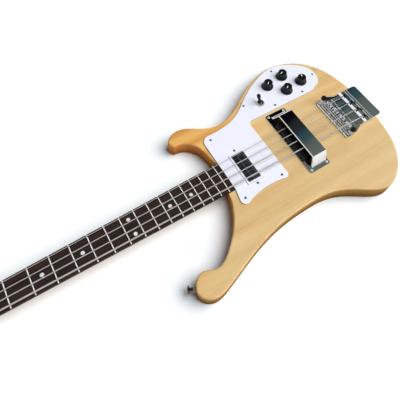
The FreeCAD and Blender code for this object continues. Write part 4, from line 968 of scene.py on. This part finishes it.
def make_floor():
    """A wide white floor that keeps the part's shadow."""
    material = bpy.data.materials.new("white_floor")
    material.use_nodes = True
    tree = material.node_tree
    tree.nodes.remove(tree.nodes["Principled BSDF"])
    paper = noise(tree, floor_clouds, detail=2, roughness=0.5)
    lit = add(tree, "BsdfDiffuse", {"Color": ramp(tree, paper, floor_tones)})
    glow = add(tree, "Emission", {"Color": WHITE, "Strength": 1.0})
    share = calc(tree, "MULTIPLY", seen_directly(tree), floor_glow)
    mixed = add(tree, "MixShader", {0: share, 1: lit, 2: glow})
    tree.links.new(mixed, tree.nodes["Material Output"].inputs["Surface"])
    half = floor_size / 2
    mesh = bpy.data.meshes.new("floor")
    edge = [(-half, -half, 0), (half, -half, 0), (half, half, 0), (-half, half, 0)]
    mesh.from_pydata(edge, [], [(0, 1, 2, 3)])
    mesh.materials.append(material)
    floor = bpy.data.objects.new("floor", mesh)
    floor.location.z = cad_box[0].z - floor_drop
    bpy.context.scene.collection.objects.link(floor)


def make_surround():
    """White round the horizon, darker overhead, so that level mirrors look dark as in the photograph."""
    world = bpy.data.worlds.new("studio")
    world.use_nodes = True
    bpy.context.scene.world = world
    tree = world.node_tree
    direction = add(tree, "TexCoord", output="Generated")
    rise = add(tree, "SeparateXYZ", {"Vector": direction}, output="Z")
    across = add(tree, "SeparateXYZ", {"Vector": direction}, output="Y")
    high = between(tree, rise, overhead_rise, interpolation_type="SMOOTHSTEP")
    picture = blend(tree, high, WHITE, ramp(tree, across, overhead_bands))
    lighting = tuple(surround_level * share for share in surround_tint) + (1,)
    background = tree.nodes["Background"]
    tree.links.new(blend(tree, seen_directly(tree), lighting, picture), background.inputs["Color"])
    background.inputs["Strength"].default_value = 1.0


def add_lamp():
    """A wide lamp that lights evenly and isn't mirrored, as the surround's picture stands for it."""
    data = bpy.data.lights.new("key", "SUN")
    data.angle = math.radians(key_spread)
    data.energy = key_strength
    data.color = key_colour
    lamp = bpy.data.objects.new("key", data)
    lamp.rotation_mode = "QUATERNION"
    lamp.rotation_quaternion = key_direction.to_track_quat("Z", "Y")
    lamp.visible_glossy = False
    bpy.context.scene.collection.objects.link(lamp)


def add_camera():
    """The camera that took the photograph."""
    data = bpy.data.cameras.new("camera")
    data.sensor_width = camera_sensor
    data.lens = camera_lens
    data.shift_x, data.shift_y = camera_shift
    data.clip_start, data.clip_end = camera_clip
    camera = bpy.data.objects.new("camera", data)
    camera.location = camera_place
    camera.rotation_euler = [math.radians(angle) for angle in camera_turn]
    bpy.context.scene.collection.objects.link(camera)
    bpy.context.scene.camera = camera


for node in screw_nodes:
    add_screws(node)
for knob, heading in pointer_headings.items():
    add_pointer(knob, heading)
for name, diameter in string_diameters.items():
    add_string(name, diameter)
add_foam()
finish_solids()
make_floor()
make_surround()
add_lamp()
add_camera()
bpy.context.scene.view_settings.view_transform = "Standard"
